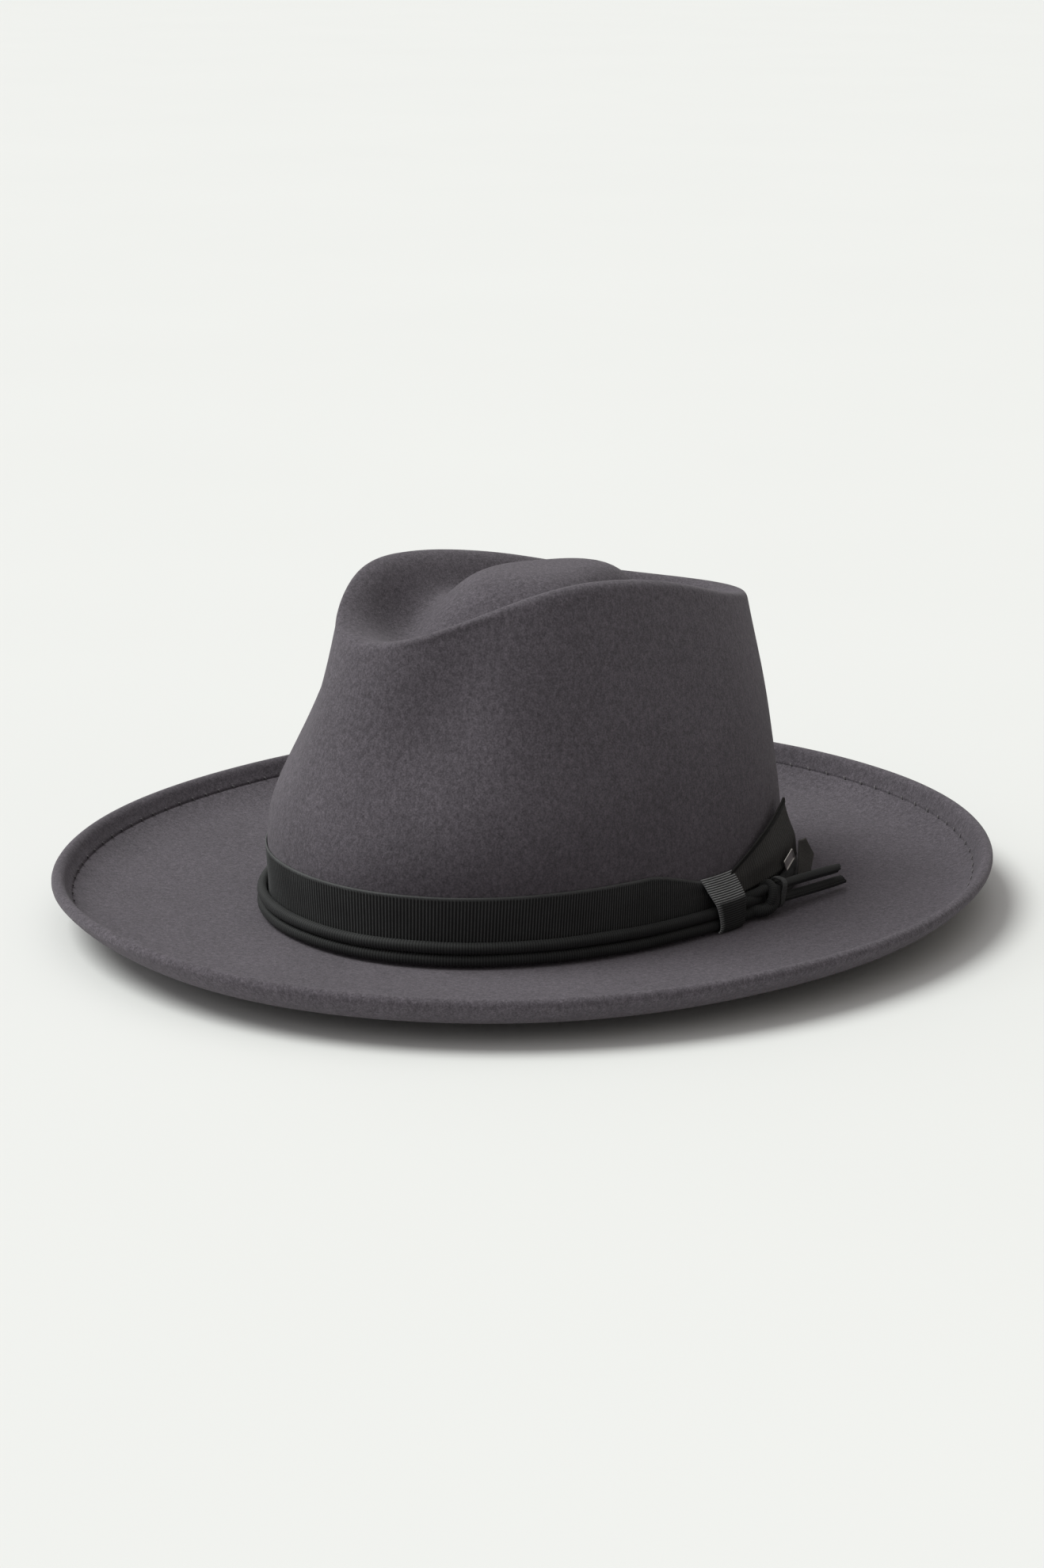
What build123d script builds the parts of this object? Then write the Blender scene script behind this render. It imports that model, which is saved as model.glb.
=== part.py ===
from build123d import *

# Teardrop-crown felt hat with a curled, overwelted brim, a grosgrain band and a side bow.
# Frame: +Z up, the wearer looks along -Y, the bow is on +X (the wearer's left).
# The origin is under the middle of the crown, on the plane that the brim rests on.
# An angle "phi" is measured about +Z from the front: 0 front, 90 bow side, 180 back.

import os
from math import atan2, cos, exp, hypot, pi, radians, sin

# Driving dimensions, in millimetres and degrees.
HALF_LENGTH = 104.0          # crown base, front to back, outside the felt
HALF_WIDTH = 81.4            # crown base, side to side, outside the felt
OVAL_POWER = 2.15            # a little squarer than an ellipse
EGG = 0.03                   # the oval is slightly narrower at the front
FELT = 2.3                   # felt thickness
RIM_THICKNESS = 4.5          # the edge, where the felt is folded over
BRIM_WIDTH = 84.2            # crown to edge, along the underside, about the same all round
BREAK_FLAT = 3.0             # level strip under the brim break, which the hat rests on
BRIM_SLOPE = 5.6             # the brim dishes upwards
CURL_LENGTH = 14.4           # the last stretch curls up, tightly at the left front
CURL_EXTRA = 12.0            # and over a longer stretch elsewhere
TIGHT_CURL = 51.0            # degrees from the front to where the curl is tightest
WELT_WIDTH = 9.7             # felt folded onto the top side of the edge
RIDGE_CENTRE = 7.7           # the crown's ridge ring is centred a little behind the middle
RIDGE_HALF_LENGTH = 87.1
RIDGE_HALF_WIDTH = 52.5
RIDGE_EGG = 0.1
RIDGE_HEIGHT = 126.9         # mean height of the ridge
PINCH_DROP = 35.3            # how much the front pinch takes off that height
FAR_SHOULDER = 2.2           # the ridge stands higher on the far side of the pinch
HOLLOW_DEPTH = 5.0           # finger hollows either side of the pinch
BROW = 5.6                   # swelling of the wall below the hollows
APEX = 126.8                 # top of the teardrop dome
CENTRE_SHIFT = 1.61          # the whole hat, so that the brim is centred on the origin
RIDGE_ROUND = 4.2            # softness of the ridge
BAND_TOP = 28.1              # ribbon band, above the resting plane
BAND_BOTTOM = 3.4
BAND_THICKNESS = 0.6
GATHER_DEPTH = 7.5           # the band's top edge dips where the bow gathers it
GATHER_RADIUS = 60.0
CORD_DIAMETER = 4.2          # rolled ribbon cords round the foot of the band
GAP = 0.25                   # sewn pieces lie this close to each other
REAR_GAP = 0.9               # flat pieces sewn inside the curved sweatband
WRAP_ANGLE = 106.6           # where the bow's wrap sits, and its width and height
WRAP_WIDTH = 13.5
WRAP_TOP = 22.3
WRAP_THICKNESS = 0.8
KNOT_ANGLE = 121.0           # where the cords are tied
KNOT_OUT = 6.3
KNOT_HEIGHT = 10.6
KNOT_RADIUS = 3.3
KNOT_TALL = 11.4
KNOT_ROUND = 2.0
LOOP_CLEARANCE = 0.5
LOOP_SIDE_CLEARANCE = 1.0
LOOP_THICKNESS = 0.9
LOOP_LENGTH = 2.7
CORD_END_GAP = 0.5
CORD_END_LENGTH = 34.0
CORD_END_STAGGER = 3.5       # the lower cord end is this much longer
CORD_END_START = 5.1         # from the middle of the knot
CORD_END_PIVOT = 5.5
TAIL_ANGLE = 141.5           # the ribbon's loose end hinges here
TAIL_OUT = 6.5
TAIL_BOTTOM = 8.5
TAIL_TURN = 100.0
TAG_ANGLE = 135.0            # a small metal tag on the flared ribbon
TAG_OUT = 5.8
TAG_HEIGHT = 17.5
TAG_FLARE = 25.0
TAG_SLOPE = 30.0
CORD_END_TURN = 94.0         # direction of the cord ends about +Z, from +X
SWEATBAND_THICKNESS = 1.2
SWEATBAND_TOP = 37.0
SWEATBAND_BOTTOM = 2.8
LINING_THICKNESS = 0.4
LINING_BOTTOM = 12.0
LINING_TOP = 96.0
WELT_STITCHES = 40
SWEATBAND_STITCHES = 36
STITCH_LENGTH = 3.0
STITCH_RADIUS = 0.25
ROUTE_STEP = 6               # degrees between the corners of a wound cord
RING_POINTS = 36

os.makedirs("parts", exist_ok=True)


def signed(phi):
    """The angle between -pi and pi."""
    return (phi + pi) % (2 * pi) - pi


def bell(value, centre, width):
    return exp(-(((value - centre) / width) ** 2))


def oval_radius(phi):
    """Outside of the crown base."""
    width = HALF_WIDTH * (1 - EGG * cos(phi))
    across = abs(sin(phi) / width) ** OVAL_POWER
    along = abs(cos(phi) / HALF_LENGTH) ** OVAL_POWER
    return (across + along) ** (-1 / OVAL_POWER)


def ridge_radius(phi):
    """The ridge ring is an egg, wider towards the front."""
    width = RIDGE_HALF_WIDTH * (1 + RIDGE_EGG * cos(phi))
    return 1 / hypot(sin(phi) / width, cos(phi) / RIDGE_HALF_LENGTH)


def ridge_height(phi):
    """High beside the front pinch, low at the pinch and at the back, a little higher on the bow side."""
    wave = RIDGE_HEIGHT + 15.9 * cos(phi) + 2.3 * cos(3 * phi) + 3.2 * sin(phi)
    shoulder = FAR_SHOULDER * bell(signed(phi), radians(-40), radians(16))
    return wave + shoulder - PINCH_DROP * bell(signed(phi), 0, radians(40))


def side_shape(phi, t):
    """How far the wall stands outside the straight line from base to ridge."""
    belly = 4.0 * sin(pi * t)
    hollow = 0
    brow = 0
    for side in (-1, 1):
        hollow += bell(signed(phi - side * radians(26)), 0, radians(12))
        brow += bell(signed(phi - side * radians(35)), 0, radians(38))
    return belly - HOLLOW_DEPTH * hollow * bell(t, 0.76, 0.22) + BROW * brow * bell(t, 0.33, 0.2)


def wall_station(phi, t):
    """A point of the outer wall: distance out, height, and shift of the centre along Y."""
    out = oval_radius(phi) * (1 - t) + (ridge_radius(phi) + 1.5) * t + side_shape(phi, t)
    return out, ridge_height(phi) * t, RIDGE_CENTRE * t


def wall_out(phi, z):
    """Outer wall at a height: distance out and shift."""
    out, _, shift = wall_station(phi, z / ridge_height(phi))
    return out, shift


def slow_curl(phi):
    """0 where the brim curls tightly, 1 where it curls slowly."""
    return 1 - bell(signed(phi - radians(TIGHT_CURL)), 0, radians(70))


def brim_width(phi):
    return BRIM_WIDTH + 1.4 * cos(phi) - 0.85 * cos(2 * phi) - slow_curl(phi) * (1.2 + 0.45 * cos(phi))


def curl_start(phi):
    return brim_width(phi) - CURL_LENGTH - CURL_EXTRA * slow_curl(phi)


def welt_start(phi):
    return brim_width(phi) + RIM_THICKNESS / 2 - WELT_WIDTH


def brim_station(phi, along, lift):
    """A point on the brim, a distance along the underside and a height above it."""
    flat = curl_start(phi)
    slope = radians(BRIM_SLOPE)
    curl = radians(61.2 + 2.6 * cos(phi) + 2.8 * cos(2 * phi) - slow_curl(phi) * (26.0 + 11.0 * cos(phi)))
    out = oval_radius(phi) + BREAK_FLAT
    z = 0.0
    run = min(along, flat) - BREAK_FLAT
    if run > 0:
        out += run * cos(slope)
        z += run * sin(slope)
    else:
        out += run
    angle = slope if run > 0 else 0.0
    extra = along - flat
    if extra > 0:
        radius = (brim_width(phi) - flat) / curl
        angle = slope + extra / radius
        out += radius * (sin(angle) - sin(slope))
        z += radius * (cos(slope) - cos(angle))
    return out - lift * sin(angle), z + lift * cos(angle), 0.0


def edge_station(phi, turn):
    """A point on the rounded edge: turn runs from -90 (under) to 90 (top)."""
    half = RIM_THICKNESS / 2
    out, z, _ = brim_station(phi, brim_width(phi), half)
    low_out, low_z, _ = brim_station(phi, brim_width(phi), 0)
    tilt = atan2(out - low_out, z - low_z)
    angle = -tilt + radians(turn)
    return out + half * cos(angle), z + half * sin(angle), 0.0


def crease_fraction(phi):
    return 0.62 + 0.02 * cos(phi) + 0.05 * cos(2 * phi)


def crease_depth(phi):
    return 13.5 - 7.0 * bell(signed(phi), 0, radians(25)) - 4.0 * bell(signed(phi - pi), 0, radians(45))


def lip_station(phi, s):
    """The rounded ridge, from the wall (0) to its crest (1)."""
    height = ridge_height(phi)
    start = wall_station(phi, 1 - RIDGE_ROUND / height)
    corner = ridge_radius(phi) + 1.5
    end = corner - RIDGE_ROUND
    out = (1 - s) ** 2 * start[0] + 2 * s * (1 - s) * corner + s ** 2 * end
    z = (1 - s) ** 2 * start[1] + 2 * s * (1 - s) * height + s ** 2 * height
    shift = start[2] + (RIDGE_CENTRE - start[2]) * s
    return out, z, shift


def crease_station(phi, w):
    """The inner side of the ridge, from the crest (0) to the bottom of the crease (1)."""
    crest = ridge_radius(phi) + 1.5 - RIDGE_ROUND
    bottom = ridge_radius(phi) * crease_fraction(phi)
    depth = crease_depth(phi)
    out = crest + (bottom - crest) * w
    return out, ridge_height(phi) - depth * (1 - cos(pi * w)) / 2, RIDGE_CENTRE


def dome_station(phi, v):
    """The teardrop dome, from the crease (1) to the middle (0)."""
    bottom = ridge_radius(phi) * crease_fraction(phi)
    low = ridge_height(phi) - crease_depth(phi)
    power = 2.25 + 0.1 * cos(phi)
    return bottom * v, low + (APEX - low) * cos(pi / 2 * v ** power) ** 2, RIDGE_CENTRE


def crown_stations(phi):
    """The outside of the crown, from the brim break to the middle of the dome."""
    top = 1 - RIDGE_ROUND / ridge_height(phi)
    stations = [wall_station(phi, t * top) for t in (0.026, 0.06, 0.13, 0.22, 0.33, 0.45, 0.57, 0.70, 0.85, 1.0)]
    stations += [lip_station(phi, s) for s in (0.35, 0.7, 1.0)]
    stations += [crease_station(phi, w) for w in (0.3, 0.55, 0.8, 1.0)]
    stations += [dome_station(phi, v) for v in (0.85, 0.7, 0.5, 0.3)]
    stations.append((3.0, APEX, RIDGE_CENTRE))
    return stations


def brim_stations(phi):
    """The brim's skin, from the resting strip, round the edge, and back to the brim break."""
    edge, flat, welt = brim_width(phi), curl_start(phi), welt_start(phi)
    curl = edge - flat
    under = (BREAK_FLAT, 30.0, flat, flat + curl / 4, flat + curl / 2, flat + 3 * curl / 4)
    stations = [brim_station(phi, along, 0) for along in under]
    stations += [edge_station(phi, turn) for turn in (-90, -45, 0, 45, 90)]
    stations.append(brim_station(phi, edge - 2.5, RIM_THICKNESS - 0.3))
    stations.append(brim_station(phi, (edge + welt) / 2, FELT + 1.3))
    stations.append(brim_station(phi, welt + 0.4, FELT + 0.7))
    stations += [brim_station(phi, along, FELT) for along in (welt, (welt + flat) / 2, flat, 30.0, 6.0)]
    stations.append((oval_radius(phi) + 0.6, FELT + 0.2, 0.0))
    return stations


def place(phi, station):
    out, z, shift = station
    return out * sin(phi), -out * cos(phi) + shift + CENTRE_SHIFT, z


def inner_side(stations, depth):
    """Move a profile inwards, square to itself, by a depth."""
    moved = []
    last = len(stations) - 1
    for i, (out, z, shift) in enumerate(stations):
        before = stations[max(i - 1, 0)]
        after = stations[min(i + 1, last)]
        along, up = after[0] - before[0], after[1] - before[1]
        length = hypot(along, up)
        moved.append((out - depth * up / length, z + depth * along / length, shift))
    return moved


def rings(profile_at):
    """Closed smooth curves round the hat, one for each station of a profile."""
    angles = [2 * pi * i / RING_POINTS for i in range(RING_POINTS)]
    profiles = [profile_at(phi) for phi in angles]
    knots = [i / RING_POINTS for i in range(RING_POINTS + 1)]
    wires = []
    for k in range(len(profiles[0])):
        points = [place(phi, profile[k]) for phi, profile in zip(angles, profiles)]
        wires.append(Wire([Edge.make_spline(points, periodic=True, parameters=knots)]))
    return wires


def outer_profile(phi):
    return brim_stations(phi) + crown_stations(phi)


def cavity_profile(phi):
    crown = inner_side(crown_stations(phi), FELT)
    foot = oval_radius(phi) - FELT
    crown[-1] = (3.0, APEX - FELT, RIDGE_CENTRE)
    return [(foot + 1.6, -1.0, 0.0), (foot + 1.0, 0.8, 0.0), (foot + 0.2, 3.0, 0.0)] + crown


BAND_INNER = GAP
BAND_OUTER = BAND_INNER + BAND_THICKNESS
CORD_RADIUS = CORD_DIAMETER / 2
CORD_OUT = BAND_OUTER + GAP + CORD_RADIUS
CORNER_ALLOWANCE = 0.15      # the arcs of a wound cord lie a little inside its corners
LOWER_CORD_HEIGHT = BAND_BOTTOM + CORD_RADIUS
UPPER_CORD_HEIGHT = LOWER_CORD_HEIGHT + CORD_DIAMETER + GAP
LINING_OUTER = -FELT - 0.6   # distances outside the crown wall, so the inside of the hat is negative
LINING_INNER = LINING_OUTER - LINING_THICKNESS
SWEATBAND_OUTER = LINING_INNER - GAP
SWEATBAND_INNER = SWEATBAND_OUTER - SWEATBAND_THICKNESS


def on_wall(degrees_round, grow, z):
    """A point a distance outside the crown wall."""
    phi = radians(degrees_round)
    out, shift = wall_out(phi, z)
    return Vector(*place(phi, (out + grow, z, shift)))


def wall_plane(degrees_round, grow, z):
    """A plane on the crown wall: its X points outwards, its Y points up, and it looks round the crown."""
    across = radians(degrees_round)
    return Plane(on_wall(degrees_round, grow, z), x_dir=(sin(across), -cos(across), 0),
                 z_dir=(-cos(across), -sin(across), 0))


def wall_section(z, grow):
    """The crown's outline at a height, grown outwards and filled."""
    with BuildSketch(Plane.XY.offset(z)) as section:
        with BuildLine():
            angles = [360 * i / RING_POINTS for i in range(RING_POINTS)]
            Spline(*[(p.X, p.Y) for p in (on_wall(a, grow, z) for a in angles)], periodic=True)
        make_face()
    return section.sketch


def wall_ring(heights, inner, outer):
    """A thin ring that follows the crown wall."""
    with BuildPart() as ring:
        loft([wall_section(z, outer) for z in heights], ruled=True)
        loft([wall_section(z, inner) for z in heights], ruled=True, mode=Mode.SUBTRACT)
    return ring.part


def save(builder, name):
    builder.part.label = name
    export_step(builder.part, f"parts/{name}.step")


def make_felt_body():
    """Crown and brim are one piece of felt: its outer skin less the head opening."""
    outer = Solid.make_loft(rings(outer_profile), ruled=True)
    cavity = Solid.make_loft(rings(cavity_profile), ruled=True)
    with BuildPart() as felt_body:
        add(outer)
        add(cavity, mode=Mode.SUBTRACT)
    save(felt_body, "felt_body")


def make_hat_band():
    """Ribbon round the foot of the crown, gathered under the bow's wrap."""
    middle = (BAND_BOTTOM + BAND_TOP) / 2
    ring = wall_ring((BAND_BOTTOM, middle, BAND_TOP), BAND_INNER, BAND_OUTER)
    dip = wall_plane(WRAP_ANGLE, 0, BAND_TOP - GATHER_DEPTH + GATHER_RADIUS)
    with BuildPart() as hat_band:
        add(ring)
        with Locations(Plane(dip.origin, z_dir=dip.x_dir)):
            Cylinder(GATHER_RADIUS, 20, mode=Mode.SUBTRACT)
    save(hat_band, "hat_band")


def cord_route(height):
    """Round the foot of the band, from the knot and back to it."""
    first = on_wall(KNOT_ANGLE - 2, CORD_OUT + 1.0, height)
    turn = range(int(WRAP_ANGLE) + 8, int(KNOT_ANGLE) - 350, -ROUTE_STEP)
    return [first] + [on_wall(a, CORD_OUT + CORNER_ALLOWANCE, height) for a in turn]


def corner_radii(points):
    """The largest arc that each corner's two runs allow."""
    radii = []
    for before, corner, after in zip(points, points[1:], points[2:]):
        into, away = corner - before, after - corner
        half_turn = radians(into.get_angle(away)) / 2
        run = min(into.length, away.length)
        radii.append(0.45 * run / (sin(half_turn) / cos(half_turn)))
    return radii


def make_cord(name, height):
    """Rolled ribbon cord: straight runs joined by arcs."""
    route = cord_route(height)
    radii = corner_radii(route)
    print(name, "smallest bend radius", round(min(radii), 1))
    with BuildPart() as cord:
        with BuildLine() as path:
            FilletPolyline(*route, radius=radii)
        start = route[0]
        with BuildSketch(Plane(start, z_dir=route[1] - start)):
            Circle(CORD_RADIUS)
        sweep()
    print(name, "volume over section times length",
          round(cord.part.volume / (pi * CORD_RADIUS ** 2 * path.wires()[0].length), 3))
    save(cord, name)


def make_bow_wrap():
    """A short ribbon over the band and the cords, tucked in above the band."""
    outside = CORD_OUT + CORNER_ALLOWANCE + CORD_RADIUS + 2 * GAP + WRAP_THICKNESS
    low = BAND_BOTTOM - 0.15
    height = WRAP_TOP - low
    with BuildPart() as bow_wrap:
        with BuildSketch(wall_plane(WRAP_ANGLE, GAP, low)):
            with Locations((outside / 2, height / 2)):
                RectangleRounded(outside, height, 2.4)
            with Locations((outside / 2 - WRAP_THICKNESS, height / 2 - WRAP_THICKNESS)):
                Rectangle(outside, height, mode=Mode.SUBTRACT)
        extrude(amount=WRAP_WIDTH / 2, both=True)
    save(bow_wrap, "bow_wrap")


def make_bow_wing():
    """The flared ribbon end that fans out behind the wrap, up the side of the crown."""
    thickness = 1.0
    with BuildPart() as bow_wing:
        for angle, out, low, high in ((112.5, 1.4, 13.6, 21.0), (122, 1.7, 13.8, 27.5), (132, 2.7, 14.0, 34.5),
                                      (140, 4.2, 14.5, 39.5)):
            with BuildSketch(wall_plane(angle, out, low)):
                with Locations((thickness / 2, (high - low) / 2)):
                    Rectangle(thickness, high - low)
        loft(ruled=True)
    save(bow_wing, "bow_wing")


def make_ribbon_tail():
    """The loose end of the ribbon, cut to a point, standing away from the crown."""
    thickness = 0.8
    root = on_wall(TAIL_ANGLE, TAIL_OUT, TAIL_BOTTOM)
    turn = radians(TAIL_TURN)
    along = (cos(turn), sin(turn), 0)
    with BuildPart() as ribbon_tail:
        with BuildSketch(Plane(root, x_dir=along, z_dir=(sin(turn), -cos(turn), 0))):
            with BuildLine():
                Polyline((0, 0), (6.8, -0.8), (8.8, 5.5), (2.2, 13.8), (0, 10.5), close=True)
            make_face()
        extrude(amount=thickness)
    print("ribbon_tail hinge", root)
    save(ribbon_tail, "ribbon_tail")


def make_metal_tag():
    """A small blank metal tag on the wing: its long side rises backwards and stands away at the back."""
    length, width, thickness = 7.0, 5.0, 0.5
    face = wall_plane(TAG_ANGLE, TAG_OUT, TAG_HEIGHT)
    flare = radians(TAG_FLARE)
    slope = radians(TAG_SLOPE)
    back = -face.z_dir * cos(flare) + face.x_dir * sin(flare)
    with BuildPart() as metal_tag:
        with BuildSketch(Plane(face.origin, x_dir=back * cos(slope) + Vector(0, 0, sin(slope)),
                               z_dir=face.x_dir * cos(flare) + face.z_dir * sin(flare))):
            RectangleRounded(length, width, 0.6)
        extrude(amount=thickness)
    save(metal_tag, "metal_tag")


def knot_plane():
    """At the middle of the knot, looking along the cord ends, with Y up."""
    turn = radians(CORD_END_TURN)
    return Plane(on_wall(KNOT_ANGLE, KNOT_OUT, KNOT_HEIGHT), x_dir=(sin(turn), -cos(turn), 0),
                 z_dir=(cos(turn), sin(turn), 0))


def make_cord_knot():
    """The bundle where the cords cross and are tied."""
    centre = on_wall(KNOT_ANGLE, KNOT_OUT, KNOT_HEIGHT)
    with BuildPart() as cord_knot:
        with Locations(centre):
            Cylinder(KNOT_RADIUS, KNOT_TALL)
        fillet(cord_knot.edges().filter_by(GeomType.CIRCLE), KNOT_ROUND)
    save(cord_knot, "cord_knot")


def make_knot_loop():
    """A flat loop of ribbon round both cord ends, where they leave the knot."""
    tall = 2 * CORD_DIAMETER + CORD_END_GAP + 2 * LOOP_CLEARANCE
    wide = CORD_DIAMETER + 2 * LOOP_SIDE_CLEARANCE
    with BuildPart() as knot_loop:
        with BuildSketch(knot_plane().offset(KNOT_RADIUS + 0.05)):
            RectangleRounded(wide + 2 * LOOP_THICKNESS, tall + 2 * LOOP_THICKNESS, 2.4)
            RectangleRounded(wide, tall, 1.8, mode=Mode.SUBTRACT)
        extrude(amount=LOOP_LENGTH)
    save(knot_loop, "knot_loop")


def make_cord_end(name, side):
    """One of the two stiff cord ends: side is 1 for the upper one, -1 for the lower one."""
    offset = side * (CORD_DIAMETER + CORD_END_GAP) / 2
    length = CORD_END_LENGTH if side > 0 else CORD_END_LENGTH + CORD_END_STAGGER
    with BuildPart() as cord_end:
        with BuildSketch(knot_plane().offset(CORD_END_START)):
            with Locations((0, offset)):
                Circle(CORD_RADIUS)
        extrude(amount=length)
    save(cord_end, name)


def make_sweatband():
    """Leather strip inside the crown, sewn at its lower edge."""
    middle = (SWEATBAND_BOTTOM + SWEATBAND_TOP) / 2
    with BuildPart() as sweatband:
        add(wall_ring((SWEATBAND_BOTTOM, middle, SWEATBAND_TOP), SWEATBAND_INNER, SWEATBAND_OUTER))
    save(sweatband, "sweatband")


def make_sweatband_reed():
    """The stiff reeded tape that the sweatband is sewn to, round the head opening."""
    with BuildPart() as sweatband_reed:
        add(wall_ring((0.5, SWEATBAND_BOTTOM - 0.2), SWEATBAND_INNER, -FELT - 0.2))
    save(sweatband_reed, "sweatband_reed")


def make_sweatband_bow():
    """A small flat ribbon bow over the sweatband's seam, at the back."""
    face = wall_plane(180, SWEATBAND_INNER - REAR_GAP, 9.0)
    with BuildPart() as sweatband_bow:
        with BuildSketch(Plane(face.origin, x_dir=-face.z_dir, z_dir=-face.x_dir)):
            with BuildLine():
                Polyline((-8, -3), (-1.5, -1.2), (1.5, -1.2), (8, -3), (8, 3), (1.5, 1.2), (-1.5, 1.2), (-8, 3),
                         close=True)
            make_face()
        extrude(amount=1.2)
    save(sweatband_bow, "sweatband_bow")


def make_size_tab():
    """A blank cloth tab that stands up behind the sweatband at the back."""
    face = wall_plane(180, SWEATBAND_INNER - REAR_GAP, 26.0)
    with BuildPart() as size_tab:
        with BuildSketch(Plane(face.origin, x_dir=-face.z_dir, z_dir=-face.x_dir)):
            Rectangle(12, 16)
        extrude(amount=0.5)
    save(size_tab, "size_tab")


def make_lining_side():
    """The satin wall of the lining."""
    steps = 10
    heights = [LINING_BOTTOM + (LINING_TOP - LINING_BOTTOM) * i / steps for i in range(steps + 1)]
    with BuildPart() as lining_side:
        add(wall_ring(heights, LINING_INNER, LINING_OUTER))
    save(lining_side, "lining_side")


def make_lining_tip():
    """The satin top of the lining."""
    with BuildPart() as lining_tip:
        extrude(wall_section(LINING_TOP + 0.05, LINING_OUTER), amount=LINING_THICKNESS)
    save(lining_tip, "lining_tip")


def make_welt_stitches():
    """Small stitches that hold the folded edge down."""
    planes = []
    for i in range(WELT_STITCHES):
        phi = 2 * pi * i / WELT_STITCHES
        here, ahead = (Vector(*place(a, brim_station(a, welt_start(a) - 0.8, FELT + 0.75)))
                       for a in (phi, phi + 0.01))
        planes.append(Plane(here, z_dir=ahead - here))
    with BuildPart() as welt_stitches:
        with Locations(*planes):
            Cylinder(STITCH_RADIUS, STITCH_LENGTH)
    save(welt_stitches, "welt_stitches")


def make_sweatband_stitches():
    """Stitches along the lower edge of the sweatband."""
    planes = []
    for i in range(SWEATBAND_STITCHES):
        angle = 360 * i / SWEATBAND_STITCHES
        here = on_wall(angle, SWEATBAND_INNER - 0.45, 4.6)
        planes.append(Plane(here, z_dir=on_wall(angle + 1, SWEATBAND_INNER - 0.45, 4.6) - here))
    with BuildPart() as sweatband_stitches:
        with Locations(*planes):
            Cylinder(STITCH_RADIUS, STITCH_LENGTH)
    save(sweatband_stitches, "sweatband_stitches")


make_felt_body()
make_hat_band()
make_cord("cord_lower", LOWER_CORD_HEIGHT)
make_cord("cord_upper", UPPER_CORD_HEIGHT)
make_bow_wrap()
make_bow_wing()
make_ribbon_tail()
make_metal_tag()
make_cord_knot()
make_knot_loop()
make_cord_end("cord_end_upper", 1)
make_cord_end("cord_end_lower", -1)
make_sweatband()
make_sweatband_reed()
make_sweatband_bow()
make_size_tab()
make_lining_side()
make_lining_tip()
make_welt_stitches()
make_sweatband_stitches()
print("cord hinge", knot_plane().offset(CORD_END_PIVOT).origin)
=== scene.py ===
from math import cos, pi, radians, sin

import bpy
import numpy as np
from mathutils import Matrix, Vector


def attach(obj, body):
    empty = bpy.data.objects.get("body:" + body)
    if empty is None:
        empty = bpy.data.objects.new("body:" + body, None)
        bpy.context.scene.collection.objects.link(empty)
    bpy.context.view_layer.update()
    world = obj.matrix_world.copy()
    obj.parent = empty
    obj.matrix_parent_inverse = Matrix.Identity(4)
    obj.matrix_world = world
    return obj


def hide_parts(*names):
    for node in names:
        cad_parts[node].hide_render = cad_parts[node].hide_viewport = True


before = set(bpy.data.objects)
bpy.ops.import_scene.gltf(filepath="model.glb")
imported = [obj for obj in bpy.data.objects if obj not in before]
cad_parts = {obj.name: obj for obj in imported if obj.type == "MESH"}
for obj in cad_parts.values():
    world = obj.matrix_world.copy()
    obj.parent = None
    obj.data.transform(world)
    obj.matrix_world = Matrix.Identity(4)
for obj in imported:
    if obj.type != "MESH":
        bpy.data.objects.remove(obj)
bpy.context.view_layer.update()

MM = 0.001
HAT = "hat"

# The hat's driving dimensions, in millimetres and degrees. They are the CAD model's, apart from the
# rounding of the ridge, the gather and the tail's height, which differ a little.
HALF_LENGTH = 104.0   # crown base, outside the felt
HALF_WIDTH = 81.4
OVAL_POWER = 2.15     # a little squarer than an ellipse
EGG = 0.03            # the oval is slightly narrower at the front
FELT = 2.3
RIM_THICKNESS = 4.5   # the edge, where the felt is folded over
BRIM_WIDTH = 84.2
BREAK_FLAT = 3.0      # level strip that the hat rests on
BRIM_SLOPE = 5.6
CURL_LENGTH = 14.4    # the last stretch curls up, tightly at the left front
CURL_EXTRA = 12.0     # and over a longer stretch elsewhere
TIGHT_CURL = 51.0     # where the curl is tightest
WELT_WIDTH = 9.7      # felt folded onto the top side of the edge
RIDGE_CENTRE = 7.7    # the ridge ring is centred a little behind the middle
RIDGE_HALF_LENGTH = 87.1
RIDGE_HALF_WIDTH = 52.5
RIDGE_EGG = 0.1
RIDGE_HEIGHT = 126.9
RIDGE_ROUND = 3.4     # softness of the ridge
RIDGE_CORNER = 1.5    # from the ridge ring out to the corner that is rounded off
PINCH_DROP = 35.3     # how much the front pinch takes off the ridge's height
FAR_SHOULDER = 2.2    # the ridge stands higher on the far side of the pinch
HOLLOW_DEPTH = 5.0    # finger hollows either side of the pinch
BROW = 5.6            # swelling of the wall below the hollows
APEX = 126.8          # top of the teardrop dome
CENTRE_SHIFT = 1.61   # the whole hat, so that the brim is centred on the origin
BAND_TOP = 28.1
BAND_BOTTOM = 3.4
GATHER_DEPTH = 7.2    # the band's top edge dips where the bow gathers it
GATHER_REACH = 36.0
CORD_DIAMETER = 4.2
WRAP_ANGLE = 106.6    # where the bow's wrap sits
WRAP_TOP = 22.3
KNOT_ANGLE = 121.0    # where the cords are tied
KNOT_OUT = 6.3
KNOT_HEIGHT = 10.6
CORD_END_TURN = 94.0  # direction of the cord ends about +Z, from +X
CORD_END_START = 5.1  # from the middle of the knot
CORD_END_LENGTHS = {1: 34.0, -1: 37.5}  # upper and lower
TAIL_ANGLE = 141.5    # the ribbon's loose end
TAIL_OUT = 6.5
TAIL_BOTTOM = 8.5
TAIL_HEIGHT = 14.0
TAIL_TURN = 100.0
TAG_ANGLE = 135.0     # the small metal tag
TAG_OUT = 5.8
TAG_HEIGHT = 17.5
TAG_FLARE = 25.0
TAG_SLOPE = 30.0
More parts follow.
